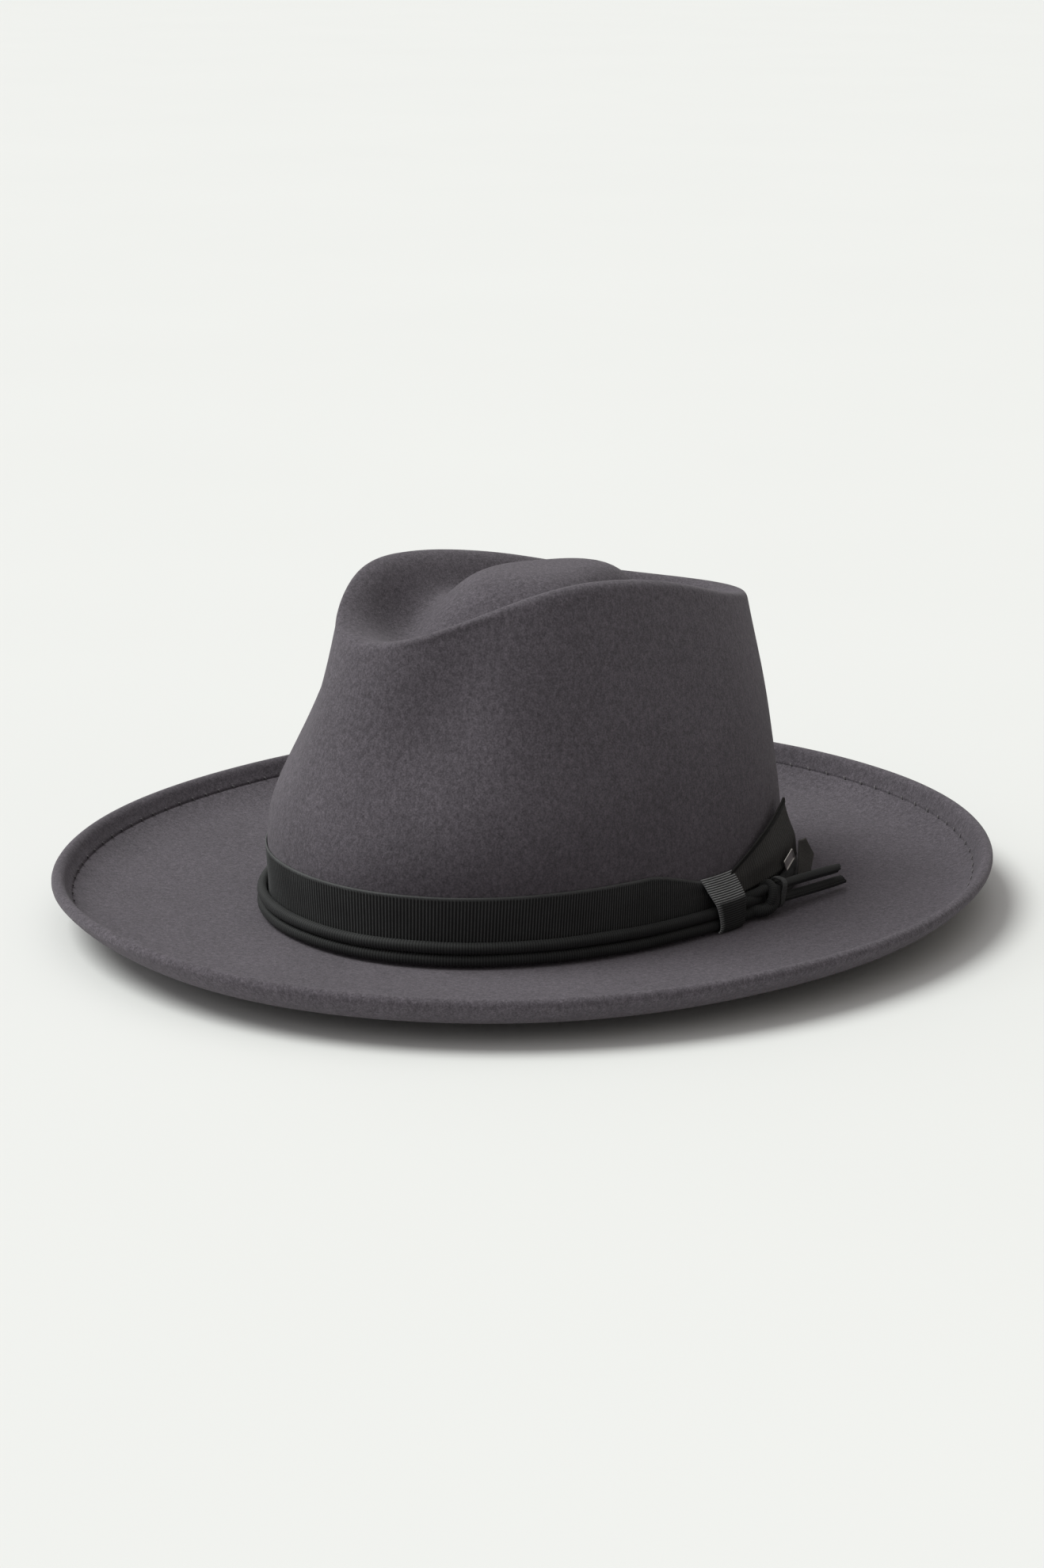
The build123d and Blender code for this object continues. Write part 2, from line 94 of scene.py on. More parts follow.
SWEATBAND_BOTTOM = 2.8
SWEATBAND_WIDTH = 34.2
LINING_BOTTOM = 12.0
LINING_TOP = 96.0

# ---- camera

TARGET = Vector((0.0, 0.0016, 0.0019))
CAMERA_AZIMUTH = 51.0
CAMERA_ELEVATION = 17.84
CAMERA_ROLL = 0.67
CAMERA_DISTANCE = 1.236
PIXELS_PER_METRE = 3311.0    # at the target, in an image 1980 high
IMAGE_HEIGHT = 1980.0
SENSOR = 36.0
SHIFT_X = -0.0054
SHIFT_Y = 0.0666


def make_camera():
    """The photograph's viewpoint: above the brim, off the hat's left front."""
    a, e = radians(CAMERA_AZIMUTH), radians(CAMERA_ELEVATION)
    back = Vector((sin(a) * cos(e), -cos(a) * cos(e), sin(e)))
    data = bpy.data.cameras.new("camera")
    data.sensor_width = SENSOR
    data.lens = SENSOR * PIXELS_PER_METRE * CAMERA_DISTANCE / IMAGE_HEIGHT
    data.shift_x = SHIFT_X
    data.shift_y = SHIFT_Y
    data.clip_start = 0.05
    camera = bpy.data.objects.new("camera", data)
    camera.location = TARGET + back * CAMERA_DISTANCE
    turn = (-back).to_track_quat("-Z", "Y").to_matrix() @ Matrix.Rotation(radians(CAMERA_ROLL), 3, "Z")
    camera.rotation_euler = turn.to_euler()
    bpy.context.collection.objects.link(camera)
    bpy.context.scene.camera = camera


make_camera()

# ---- the hat's surfaces
# A station is (distance out, height, shift of the centre along Y), in millimetres, for an angle phi
# measured about +Z from the front. Every function works on numpy arrays.


def signed(phi):
    return (phi + pi) % (2 * pi) - pi


def bell(value, centre, width):
    return np.exp(-(((value - centre) / width) ** 2))


def smooth(value):
    """0 below 0, 1 above 1, smooth between."""
    v = np.clip(value, 0, 1)
    return v * v * (3 - 2 * v)


def oval_radius(phi):
    """Outside of the crown base."""
    width = HALF_WIDTH * (1 - EGG * np.cos(phi))
    across = np.abs(np.sin(phi) / width) ** OVAL_POWER
    along = np.abs(np.cos(phi) / HALF_LENGTH) ** OVAL_POWER
    return (across + along) ** (-1 / OVAL_POWER)


def ridge_radius(phi):
    """The ridge ring is an egg, wider towards the front."""
    width = RIDGE_HALF_WIDTH * (1 + RIDGE_EGG * np.cos(phi))
    return 1 / np.hypot(np.sin(phi) / width, np.cos(phi) / RIDGE_HALF_LENGTH)


def ridge_height(phi):
    wave = RIDGE_HEIGHT + 15.9 * np.cos(phi) + 2.3 * np.cos(3 * phi) + 3.2 * np.sin(phi)
    shoulder = FAR_SHOULDER * bell(signed(phi), radians(-40), radians(16))
    return wave + shoulder - PINCH_DROP * bell(signed(phi), 0, radians(40))


def side_shape(phi, t):
    """How far the wall swells or sinks at a fraction of its height."""
    belly = 4.0 * np.sin(pi * t)
    hollow = sum(bell(signed(phi - side * radians(26)), 0, radians(12)) for side in (-1, 1))
    brow = sum(bell(signed(phi - side * radians(35)), 0, radians(38)) for side in (-1, 1))
    return belly - HOLLOW_DEPTH * hollow * bell(t, 0.76, 0.22) + BROW * brow * bell(t, 0.33, 0.2)


def wall(phi, t):
    """The crown's wall at a fraction of its height, from the foot to the ridge."""
    out = oval_radius(phi) * (1 - t) + (ridge_radius(phi) + RIDGE_CORNER) * t + side_shape(phi, t)
    return out, ridge_height(phi) * t, RIDGE_CENTRE * t


def wall_at(phi, z):
    """Distance out and shift of the crown wall at a height."""
    out, _, shift = wall(phi, z / ridge_height(phi))
    return out, shift


def slow_curl(phi):
    """0 where the brim curls tightly, 1 where it curls slowly."""
    return 1 - bell(signed(phi - radians(TIGHT_CURL)), 0, radians(70))


def brim_width(phi):
    swing = 1.4 * np.cos(phi) - 0.85 * np.cos(2 * phi)
    return BRIM_WIDTH + swing - slow_curl(phi) * (1.2 + 0.45 * np.cos(phi))


def curl_start(phi):
    return brim_width(phi) - CURL_LENGTH - CURL_EXTRA * slow_curl(phi)


def welt_start(phi):
    return brim_width(phi) + RIM_THICKNESS / 2 - WELT_WIDTH


def brim(phi, along, lift):
    """The brim at a distance along its underside, lifted square to it."""
    flat = curl_start(phi)
    slope = radians(BRIM_SLOPE)
    curl = 61.2 + 2.6 * np.cos(phi) + 2.8 * np.cos(2 * phi) - slow_curl(phi) * (26.0 + 11.0 * np.cos(phi))
    radius = (brim_width(phi) - flat) / np.radians(curl)
    run = np.minimum(along, flat) - BREAK_FLAT
    level = run <= 0
    out = oval_radius(phi) + BREAK_FLAT + np.where(level, run, run * cos(slope))
    z = np.where(level, 0.0, run * sin(slope))
    extra = np.maximum(along - flat, 0)
    angle = np.where(level, 0.0, slope) + extra / radius
    out = out + np.where(extra > 0, radius * (np.sin(angle) - sin(slope)), 0)
    z = z + np.where(extra > 0, radius * (cos(slope) - np.cos(angle)), 0)
    return out - lift * np.sin(angle), z + lift * np.cos(angle), 0.0


def rim(phi, turn):
    """The rounded edge, from -90 (under) to 90 (top)."""
    half = RIM_THICKNESS / 2
    out, z, _ = brim(phi, brim_width(phi), half)
    low_out, low_z, _ = brim(phi, brim_width(phi), 0.0)
    angle = -np.arctan2(out - low_out, z - low_z) + radians(turn)
    return out + half * np.cos(angle), z + half * np.sin(angle), 0.0


def crease_fraction(phi):
    return 0.62 + 0.02 * np.cos(phi) + 0.05 * np.cos(2 * phi)


def crease_depth(phi):
    return 13.5 - 7.0 * bell(signed(phi), 0, radians(25)) - 4.0 * bell(signed(phi - pi), 0, radians(45))


def lip(phi, s):
    """The rounded ridge, from the wall to its crest."""
    height = ridge_height(phi)
    start = wall(phi, 1 - RIDGE_ROUND / height)
    corner = ridge_radius(phi) + RIDGE_CORNER
    end = corner - RIDGE_ROUND
    out = (1 - s) ** 2 * start[0] + 2 * s * (1 - s) * corner + s ** 2 * end
    z = (1 - s) ** 2 * start[1] + 2 * s * (1 - s) * height + s ** 2 * height
    return out, z, start[2] + (RIDGE_CENTRE - start[2]) * s


def crease(phi, w):
    """From the ridge down into the crease round the dome."""
    crest = ridge_radius(phi) + RIDGE_CORNER - RIDGE_ROUND
    bottom = ridge_radius(phi) * crease_fraction(phi)
    out = crest + (bottom - crest) * w
    return out, ridge_height(phi) - crease_depth(phi) * (1 - np.cos(pi * w)) / 2, RIDGE_CENTRE


def dome(phi, v):
    """The teardrop dome, from its middle to the crease."""
    bottom = ridge_radius(phi) * crease_fraction(phi)
    low = ridge_height(phi) - crease_depth(phi)
    power = 2.25 + 0.1 * np.cos(phi)
    return bottom * v, low + (APEX - low) * np.cos(pi / 2 * v ** power) ** 2, RIDGE_CENTRE


def stations(part, values, phi, *more):
    """Stacks a function's stations for several values: an array (angles, values, 3)."""
    rows = []
    for value in values:
        out, z, shift = part(phi, value, *more)
        rows.append(np.stack([out + 0 * phi, z + 0 * phi, shift + 0 * phi], -1))
    return np.stack(rows, 1)


def points_at(phi, out, z, shift):
    """Parts of stations to points in metres."""
    return np.stack([out * np.sin(phi), -out * np.cos(phi) + shift + CENTRE_SHIFT, z], -1) * MM


def place(phi, profile):
    """Stations (angles, stations, 3) to points."""
    return points_at(phi[:, None], *np.moveaxis(profile, -1, 0))


def wall_points(phi, grow, z):
    """Points a distance outside the crown wall, for arrays of angle, distance and height."""
    out, shift = wall_at(phi, z)
    return points_at(phi, out + grow, z, shift)


def on_wall(degrees_round, grow, z):
    """One point outside the crown wall."""
    phi = np.array([radians(degrees_round)])
    return Vector(wall_points(phi, grow, z + 0 * phi)[0])


# ---- mesh helpers


def new_object(name, verts, faces, material, smooth_faces=True):
    mesh = bpy.data.meshes.new(name)
    mesh.from_pydata([tuple(v) for v in verts], [], faces)
    mesh.materials.append(material)
    if smooth_faces:
        mesh.shade_smooth()
    mesh.validate()
    obj = bpy.data.objects.new(name, mesh)
    bpy.context.collection.objects.link(obj)
    return obj


def grid_faces(rows, cols, wrap_rows, wrap_cols, start=0):
    """Quads of a grid whose vertex (r, c) is start + r * cols + c."""
    r = np.arange(rows if wrap_rows else rows - 1)
    c = np.arange(cols if wrap_cols else cols - 1)
    r, c = np.meshgrid(r, c, indexing="ij")
    r2, c2 = (r + 1) % rows, (c + 1) % cols
    quads = np.stack([r * cols + c, r2 * cols + c, r2 * cols + c2, r * cols + c2], -1)
    return (quads.reshape(-1, 4) + start).tolist()


def grid_object(name, points, material, wrap_rows=False, wrap_cols=False, caps=False):
    """A mesh from points (rows, cols, 3). caps closes the first and last row with a fan."""
    rows, cols = points.shape[:2]
    verts = points.reshape(-1, 3).tolist()
    faces = grid_faces(rows, cols, wrap_rows, wrap_cols)
    if caps:
        for row, order in ((0, 1), (rows - 1, -1)):
            ring = [row * cols + c for c in range(cols)]
            verts.append(points[row].mean(0).tolist())
            middle = len(verts) - 1
            for c in range(cols):
                a, b = ring[c], ring[(c + 1) % cols]
                faces.append([a, b, middle][::order])
    return new_object(name, verts, faces, material)


def slab(name, outer, inner, material):
    """A closed thin sheet between two grids of points (rows, cols, 3)."""
    rows, cols = outer.shape[:2]
    verts = np.concatenate([outer.reshape(-1, 3), inner.reshape(-1, 3)]).tolist()
    count = rows * cols
    faces = grid_faces(rows, cols, False, False)
    faces += [f[::-1] for f in grid_faces(rows, cols, False, False, count)]
    edge = [r * cols for r in range(rows)] + [(rows - 1) * cols + c for c in range(1, cols)]
    edge += [r * cols + cols - 1 for r in range(rows - 2, -1, -1)] + [c for c in range(cols - 2, 0, -1)]
    for a, b in zip(edge, edge[1:] + edge[:1]):
        faces.append([b, a, a + count, b + count])
    return new_object(name, verts, faces, material)


def unit_rings(path, angle, squash=1.0):
    """Rings of radius 1 square to a path, (path points, angles, 3), which twist as little as they can."""
    tangents = np.gradient(path, axis=0)
    tangents /= np.linalg.norm(tangents, axis=1)[:, None]
    side = np.cross(tangents[0], (0, 0, 1.0))
    sides = []
    for t in tangents:
        side = side - t * np.dot(side, t)
        side = side / np.linalg.norm(side)
        sides.append(side)
    ups = np.cross(sides, tangents)
    sides = np.array(sides)
    return np.cos(angle)[:, None] * sides[:, None] + squash * np.sin(angle)[:, None] * ups[:, None]


def spread_evenly(points, count, closed=False):
    """A line's points moved to equal steps along it. A closed line's first point isn't repeated."""
    length = np.concatenate([[0], np.cumsum(np.linalg.norm(np.diff(points, axis=0), axis=1))])
    at = np.linspace(0, length[-1], count, endpoint=not closed)
    return np.stack([np.interp(at, length, column) for column in points.T], -1)


def smooth_path(controls, count):
    """Evenly spread points of a smooth curve from the first control point to the last, near the others."""
    curve = bpy.data.curves.new("route", "CURVE")
    curve.dimensions = "3D"
    spline = curve.splines.new("NURBS")
    spline.points.add(len(controls) - 1)
    for p, c in zip(spline.points, controls):
        p.co = (*c, 1)
    spline.order_u = 3
    spline.use_endpoint_u = True
    curve.resolution_u = 24
    holder = bpy.data.objects.new("route", curve)
    mesh = bpy.data.meshes.new_from_object(holder)
    raw = np.array([v.co[:] for v in mesh.vertices])
    bpy.data.objects.remove(holder)
    bpy.data.curves.remove(curve)
    bpy.data.meshes.remove(mesh)
    return spread_evenly(raw, count)


def rounded_rectangle(half_width, half_height, corner, steps):
    """Outline points, anticlockwise, with a number of points round each corner."""
    points = []
    for k, (sx, sy) in enumerate(((1, 1), (-1, 1), (-1, -1), (1, -1))):
        for a in np.linspace(0, pi / 2, steps) + k * pi / 2:
            x = sx * (half_width - corner) + corner * cos(a)
            y = sy * (half_height - corner) + corner * sin(a)
            points.append((x, y))
    return points


GROOVE = 0.0002       # a groove this deep, in metres, gets the ribbon's darkest painted shade


def groove_shade(ribs, depth=GROOVE):
    return np.clip(-ribs / depth, 0, 1)


def ribbed_tube(name, path, radius, material, rib=0.00008, around=14, squash=1.0):
    """A rolled ribbon cord: a tube with fine ribs round it and a rolled-up edge along it."""
    angle = np.linspace(0, 2 * pi, around, endpoint=False)
    ribs = np.where(np.arange(len(path)) % 3 == 0, -rib, 0.0)
    roll = 0.00014 * bell(signed(angle - 1.1), 0, 0.35) - 0.00016 * bell(signed(angle - 1.65), 0, 0.25)
    size = radius + ribs[:, None] + roll[None, :]
    points = path[:, None] + size[..., None] * unit_rings(path, angle, squash)
    tube = grid_object(name, points, material, wrap_cols=True, caps=True)
    # painted shade in the grooves between the rib rings
    paint_groove_shade(tube, np.where(ribs < 0, 1.0, 0.0)[:, None] + 0 * roll[None, :])
    return tube


def paint_groove_shade(obj, depth):
    """Stores how far down between two ribs each vertex is, from 0 to 1; the ribbon's colour is darkened
    there as painted shade.
    """
    values = np.zeros(len(obj.data.vertices))
    values[:depth.size] = depth.ravel()
    obj.data.attributes.new("groove_painted_shade", "FLOAT", "POINT").data.foreach_set("value", values)


def mid_slab(name, middle, thickness, material, ribs=0.0, shade=None):
    """A closed thin sheet around a grid of middle points; ribs stand proud or sunk on the outer side.
    Shade is painted where they are sunk, unless a shade is given.
    """
    down = np.gradient(middle, axis=0)
    across = np.gradient(middle, axis=1)
    normal = np.cross(down, across)
    normal /= np.linalg.norm(normal, axis=2)[..., None]
    half = np.full(middle.shape[:2], thickness / 2)
    outer = middle + normal * (half + ribs)[..., None]
    inner = middle - normal * half[..., None]
    sheet = slab(name, outer, inner, material)
    paint_groove_shade(sheet, groove_shade(ribs) + 0 * half if shade is None else shade)
    return sheet


def rib_pattern(shape, depth, per_rib=4):
    """Rounded ribs, per_rib points wide, as offsets over a grid of points whose rows cross the ribs."""
    wave = -np.cos(2 * pi * (np.arange(shape[1]) % per_rib) / per_rib)
    return np.broadcast_to(depth * (wave * 0.5 + 0.5) - depth, shape).copy()


# ---- materials


def set_stops(node, stops):
    """Fills a colour ramp with stops, each (position, colour)."""
    while len(node.color_ramp.elements) < len(stops):
        node.color_ramp.elements.new(0.5)
    for element, (position, colour) in zip(node.color_ramp.elements, stops):
        element.position = position
        element.color = (*colour, 1)


class Nodes:
    """Builds a node material from its Principled shader outwards."""

    def __init__(self, name, **sockets):
        self.material = bpy.data.materials.new(name)
        self.material.use_nodes = True
        self.tree = self.material.node_tree
        self.shader = self.tree.nodes["Principled BSDF"]
        self.fill(self.shader, sockets)
        self.place = self.add("TexCoord").outputs["Object"]

    def link(self, source, target):
        self.tree.links.new(source, target)

    def fill(self, node, sockets):
        """Sets or links a node's inputs; a name's spaces are written as underscores."""
        for name, value in sockets.items():
            socket = node.inputs[name.replace("_", " ")]
            if isinstance(value, bpy.types.NodeSocket):
                self.link(value, socket)
            else:
                socket.default_value = value

    def add(self, kind, **sockets):
        node = self.tree.nodes.new("ShaderNode" + kind)
        self.fill(node, sockets)
        return node

    def noise(self, scale, detail=3.0, rough=0.6, stretch=None, distortion=0.0):
        node = self.add("TexNoise", Scale=scale, Detail=detail, Roughness=rough, Distortion=distortion,
                        Vector=self.stretched(stretch))
        return node.outputs["Fac"]

    def attribute(self, name):
        node = self.add("Attribute")
        node.attribute_name = name
        return node.outputs["Fac"]

    def stretched(self, factors):
        if factors is None:
            return self.place
        return self.add("Mapping", Scale=factors, Vector=self.place).outputs["Vector"]

    def ramp(self, value, *stops):
        node = self.add("ValToRGB", Fac=value)
        set_stops(node, stops)
        return node.outputs["Color"]

    def span(self, value, low, high):
        """The noise's usual range, 0.3 to 0.7, moved to low..high."""
        node = self.add("MapRange", Value=value, From_Min=0.3, From_Max=0.7, To_Min=low, To_Max=high)
        return node.outputs["Result"]

    def mix(self, factor, first, second, blend="MIX"):
        node = self.add("Mix")
        node.data_type = "RGBA"
        node.blend_type = blend
        if isinstance(factor, float):
            node.inputs["Factor"].default_value = factor
        else:
            self.link(factor, node.inputs["Factor"])
        self.link(first, node.inputs["A"])
        self.link(second, node.inputs["B"])
        return node.outputs["Result"]

    def colour(self, source):
        self.link(source, self.shader.inputs["Base Color"])

    def roughness(self, source):
        self.link(source, self.shader.inputs["Roughness"])

    def bump(self, *layers):
        """Layers are (height source, distance in metres, strength); each adds to the one before."""
        normal = None
        for height, distance, strength in layers:
            node = self.add("Bump", Height=height, Distance=distance, Strength=strength)
            if normal:
                self.link(normal, node.inputs["Normal"])
            normal = node.outputs["Normal"]
        self.link(normal, self.shader.inputs["Normal"])


def grey(value, tint=(1.0, 1.0, 1.0)):
    return tuple(value * t for t in tint)


FELT_TINT = (1.0, 0.885, 1.03)
RIBBON_TINT = (0.98, 1.0, 1.01)
WARM_TINT = (1.02, 0.99, 0.95)


def make_felt():
    """Brushed fur felt: soft mottling, a short nap and a little wear."""
    n = Nodes("felt", Roughness=0.94, Sheen_Weight=0.12, Sheen_Roughness=0.6, Specular_IOR_Level=0.15)
    n.shader.inputs["Sheen Tint"].default_value = (0.82, 0.78, 0.82, 1)
    cloud = n.noise(28.0, 3.0, 0.55)
    speck = n.noise(1500.0, 2.0, 0.7)
    grain = n.noise(620.0, 3.0, 0.65, (1, 1, 0.7))
    base = n.ramp(cloud, (0.3, grey(0.078, FELT_TINT)), (0.7, grey(0.092, FELT_TINT)))
    fleck = n.ramp(speck, (0.34, grey(0.72)), (0.5, grey(1.0)), (0.68, grey(1.34)))
    fine = n.ramp(grain, (0.32, grey(0.76)), (0.68, grey(1.24)))
    n.colour(n.mix(1.0, n.mix(1.0, base, fleck, "MULTIPLY"), fine, "MULTIPLY"))
    n.roughness(n.span(cloud, 0.9, 0.98))
    n.bump((n.noise(70.0, 2.0), 0.0012, 0.25), (grain, 0.0005, 0.45), (speck, 0.00025, 0.5))
    return n.material


def make_grosgrain(name, level, sheen, groove_painted_shade, tint=RIBBON_TINT):
    """Ribbed ribbon with fine threads. Shade is painted between the ribs; the argument after sheen says
    how much of its colour is left there.
    """
    n = Nodes(name, Roughness=0.75, Sheen_Weight=sheen, Sheen_Roughness=0.4, Specular_IOR_Level=0.22)
    cloud = n.noise(60.0, 2.0)
    thread = n.noise(2600.0, 2.0, 0.6)
    base = n.ramp(cloud, (0.3, grey(level * 0.88, tint)), (0.7, grey(level * 1.15, tint)))
    # painted shade: the colour is darkened between the ribs by the stored groove value
    between = n.ramp(n.attribute("groove_painted_shade"), (0.0, grey(1.0)), (1.0, grey(groove_painted_shade)))
    threads = n.ramp(thread, (0.35, grey(0.78)), (0.65, grey(1.25)))
    n.colour(n.mix(1.0, n.mix(1.0, base, threads, "MULTIPLY"), between, "MULTIPLY"))
    n.roughness(n.span(thread, 0.66, 0.84))
    n.bump((cloud, 0.0006, 0.2), (thread, 0.00012, 0.5))
    return n.material


def make_leather():
    """Thin dark sweatband leather with pores and fine creases."""
    n = Nodes("leather", Roughness=0.5, Specular_IOR_Level=0.45)
    cloud = n.noise(40.0, 3.0)
    pores = n.add("TexVoronoi", Scale=1100.0, Vector=n.place).outputs["Distance"]
    creases = n.noise(300.0, 4.0, 0.7, distortion=0.6)
    base = n.ramp(cloud, (0.3, (0.034, 0.021, 0.015)), (0.7, (0.052, 0.033, 0.023)))
    n.colour(n.mix(1.0, base, n.ramp(pores, (0.05, grey(0.72)), (0.45, grey(1.1))), "MULTIPLY"))
    n.roughness(n.span(creases, 0.42, 0.6))
    n.bump((creases, 0.0006, 0.35), (pores, 0.0003, 0.5))
    return n.material


def make_satin():
    """Charcoal satin lining: a close weave with a soft sheen."""
    n = Nodes("satin", Roughness=0.36, Sheen_Weight=0.3, Sheen_Roughness=0.3, Anisotropic=0.5)
    cloud = n.noise(30.0, 2.0)
    weave = n.noise(2200.0, 2.0, 0.5, (1, 1, 0.35))
    base = n.ramp(cloud, (0.3, (0.052, 0.049, 0.056)), (0.7, (0.078, 0.074, 0.083)))
    n.colour(n.mix(1.0, base, n.ramp(weave, (0.35, grey(0.85)), (0.65, grey(1.15))), "MULTIPLY"))
    n.roughness(n.span(weave, 0.3, 0.44))
    n.bump((cloud, 0.0015, 0.25), (weave, 0.0001, 0.4))
    return n.material


def make_steel():
    """Brushed pewter-grey metal, a little worn."""
    n = Nodes("tag_metal", Metallic=1.0, Roughness=0.34)
    brushed = n.noise(900.0, 2.0, 0.6, (1, 1, 0.06))
    wear = n.noise(260.0, 3.0)
    n.colour(n.ramp(wear, (0.3, (0.55, 0.53, 0.50)), (0.7, (0.78, 0.76, 0.72))))
    n.roughness(n.span(brushed, 0.26, 0.46))
    n.bump((brushed, 0.00005, 0.4))
    return n.material


def make_thread(name, low, high):
    n = Nodes(name, Roughness=0.7, Sheen_Weight=0.3)
    twist = n.noise(3000.0, 2.0, 0.5, (1, 1, 0.5))
    n.colour(n.ramp(twist, (0.3, low), (0.7, high)))
    n.bump((twist, 0.0001, 0.6))
    return n.material


FELT_MATERIAL = make_felt()
RIBBON = make_grosgrain("grosgrain", level=0.075, sheen=0.04, groove_painted_shade=0.08)
WING_RIBBON = make_grosgrain("grosgrain_wing", level=0.06, sheen=0.05, groove_painted_shade=0.06, tint=WARM_TINT)
TAIL_RIBBON = make_grosgrain("grosgrain_tail", level=0.13, sheen=0.05, groove_painted_shade=0.5, tint=WARM_TINT)
# painted light: the wrap's copy of the ribbon is about six times brighter than the band's, for its lit
# upper ribs
WRAP_RIBBON_PAINTED_LIGHT = make_grosgrain("grosgrain_wrap_painted_light", level=0.45, sheen=0.02, groove_painted_shade=0.01)
LOOP_RIBBON = make_grosgrain("grosgrain_loop", level=0.06, sheen=0.1, groove_painted_shade=0.3)
CORD_RIBBON = make_grosgrain("cord_ribbon", level=0.03, sheen=0.05, groove_painted_shade=0.3)
LEATHER = make_leather()
SATIN = make_satin()
METAL = make_steel()
WELT_THREAD = make_thread("welt_thread", (0.085, 0.077, 0.085), (0.17, 0.155, 0.165))
DARK_THREAD = make_thread("dark_thread", (0.012, 0.011, 0.011), (0.035, 0.033, 0.03))

# ---- felt

FELT_COLUMNS = 480
WELT_STITCHES = 120
# Slow hand-blocked unevenness: (waves round the hat, phase, size in millimetres).
BRIM_WAVES = ((2, 0.4, 0.35), (3, 1.9, 0.3), (5, 0.8, 0.18), (8, 2.6, 0.1))
CROWN_WAVES = ((3, 1.1, 0.16), (5, 2.3, 0.14), (9, 0.3, 0.08))


def waves(phi, parts):
    return sum(size * np.sin(count * phi + phase) for count, phase, size in parts)


def shaped(phi, profile):
    """The felt's slow unevenness: the brim's edge rises and falls, the crown's wall and dome swell."""
    out, z = profile[..., 0].copy(), profile[..., 1].copy()
    reach = smooth((out - oval_radius(phi)[:, None] - 12) / 55)
    above = smooth((z - 34) / 30) * (1 - reach)
    lift = waves(phi, BRIM_WAVES)[:, None] * reach
    swell = (waves(phi, CROWN_WAVES)[:, None] + 0.15 * np.sin(z / 9 + 2 * phi[:, None])) * above
    return np.stack([out + swell * smooth(out / 30), z + lift, profile[..., 2]], -1)


def welt_groove(phi):
    """The brim's upper side from the fold's stitched edge to the rim."""
    # each step: (distance past the fold's edge, thickness of the felt there)
    steps = ((-0.9, FELT), (-0.4, FELT - 0.12), (0.0, FELT - 0.22), (0.15, FELT + 0.08),
             (0.45, FELT + 0.35), (1.0, FELT + 0.6), (2.0, FELT + 0.9), (3.2, FELT + 1.3),
             (4.4, FELT + 1.7), (5.6, RIM_THICKNESS - 0.15))
    welt = welt_start(phi)
    return np.concatenate([stations(brim, [welt + past], phi, thick) for past, thick in steps], 1)


def inner_side(profile, depth):
    """Moves profiles inwards, square to themselves, by a depth."""
    along = np.gradient(profile[..., :2], axis=1)
    along /= np.linalg.norm(along, axis=2)[..., None]
    moved = profile.copy()
    moved[..., 0] -= depth * along[..., 1]
    moved[..., 1] += depth * along[..., 0]
    return moved


def crown_profile(phi, wall_rows):
    """The outside of the crown, from near its foot to the middle of the dome."""
    top = 1 - RIDGE_ROUND / ridge_height(phi)
    rows = [stations(wall, [t * top for t in np.linspace(0.045, 0.985, wall_rows)], phi)]
    rows.append(stations(lip, np.linspace(0.0, 1.0, 9), phi))
    rows.append(stations(crease, np.linspace(0.08, 1.0, 13), phi))
    rows.append(stations(dome, np.linspace(0.95, 0.02, 20), phi))
    return np.concatenate(rows, 1)


def felt_profile(phi):
    """The felt's whole skin, from the middle of the dome inside, out over the mouth, brim and crown."""
    crown = crown_profile(phi, 40)
    inside = inner_side(crown_profile(phi, 22), FELT)[:, ::-1]
    outside = oval_radius(phi)
    flat, width = curl_start(phi), brim_width(phi)

    def bend(start, points):
        return stations(lambda _, point: (start + point[0], point[1], 0.0), points, phi)

    mouth = bend(outside - FELT, [(0.15, 3.0), (0.35, 1.7), (0.9, 0.6), (1.8, 0.1)])
    under = [*np.linspace(BREAK_FLAT, flat, 14), *np.linspace(flat + 1.2, width - 0.3, 13)]
    under = stations(brim, under, phi, 0.0)
    edge = stations(rim, np.linspace(-90, 90, 11), phi)
    back = stations(brim, [width - 1.0], phi, RIM_THICKNESS)
    welt = welt_groove(phi)[:, ::-1]
    curl = stations(brim, np.linspace(width - 9.4, flat, 8), phi, FELT)
    top = stations(brim, np.linspace(flat - 3, 5.0 + 0 * phi, 15), phi, FELT)
    turn = bend(outside, [(2.6, FELT + 0.05), (1.3, FELT + 0.35), (0.6, FELT + 1.0)])
    return np.concatenate([inside, mouth, under, edge, back, welt, curl, top, turn, crown], 1)


def make_felt_shell():
    phi = np.linspace(0, 2 * pi, FELT_COLUMNS, endpoint=False)
    points = place(phi, shaped(phi, felt_profile(phi))).transpose(1, 0, 2)
    shell = grid_object("felt_shell", points, FELT_MATERIAL, wrap_cols=True, caps=True)
    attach(shell, HAT)
    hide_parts("felt_body")


def tube_between(start, middle, end, radius, around=8, steps=7):
    """Points of a short bent thread with rounded ends, as (rows, cols, 3)."""
    t = np.linspace(0, 1, steps)[:, None]
    line = (1 - t) ** 2 * start + 2 * t * (1 - t) * middle + t ** 2 * end
    angle = np.linspace(0, 2 * pi, around, endpoint=False)
    size = radius * np.sqrt(np.clip(1 - (2 * t - 1) ** 6, 0.08, 1))
    return line[:, None] + size[:, None] * unit_rings(line, angle)


def many_tubes(name, tubes, material):
    """One mesh from many small capped tubes."""
    verts, faces = [], []
    for points in tubes:
        rows, cols = points.shape[:2]
        start = len(verts)
        verts += points.reshape(-1, 3).tolist()
        faces += grid_faces(rows, cols, False, True, start)
        faces.append([start + c for c in range(cols)])
        faces.append([start + (rows - 1) * cols + c for c in reversed(range(cols))])
    return new_object(name, verts, faces, material)


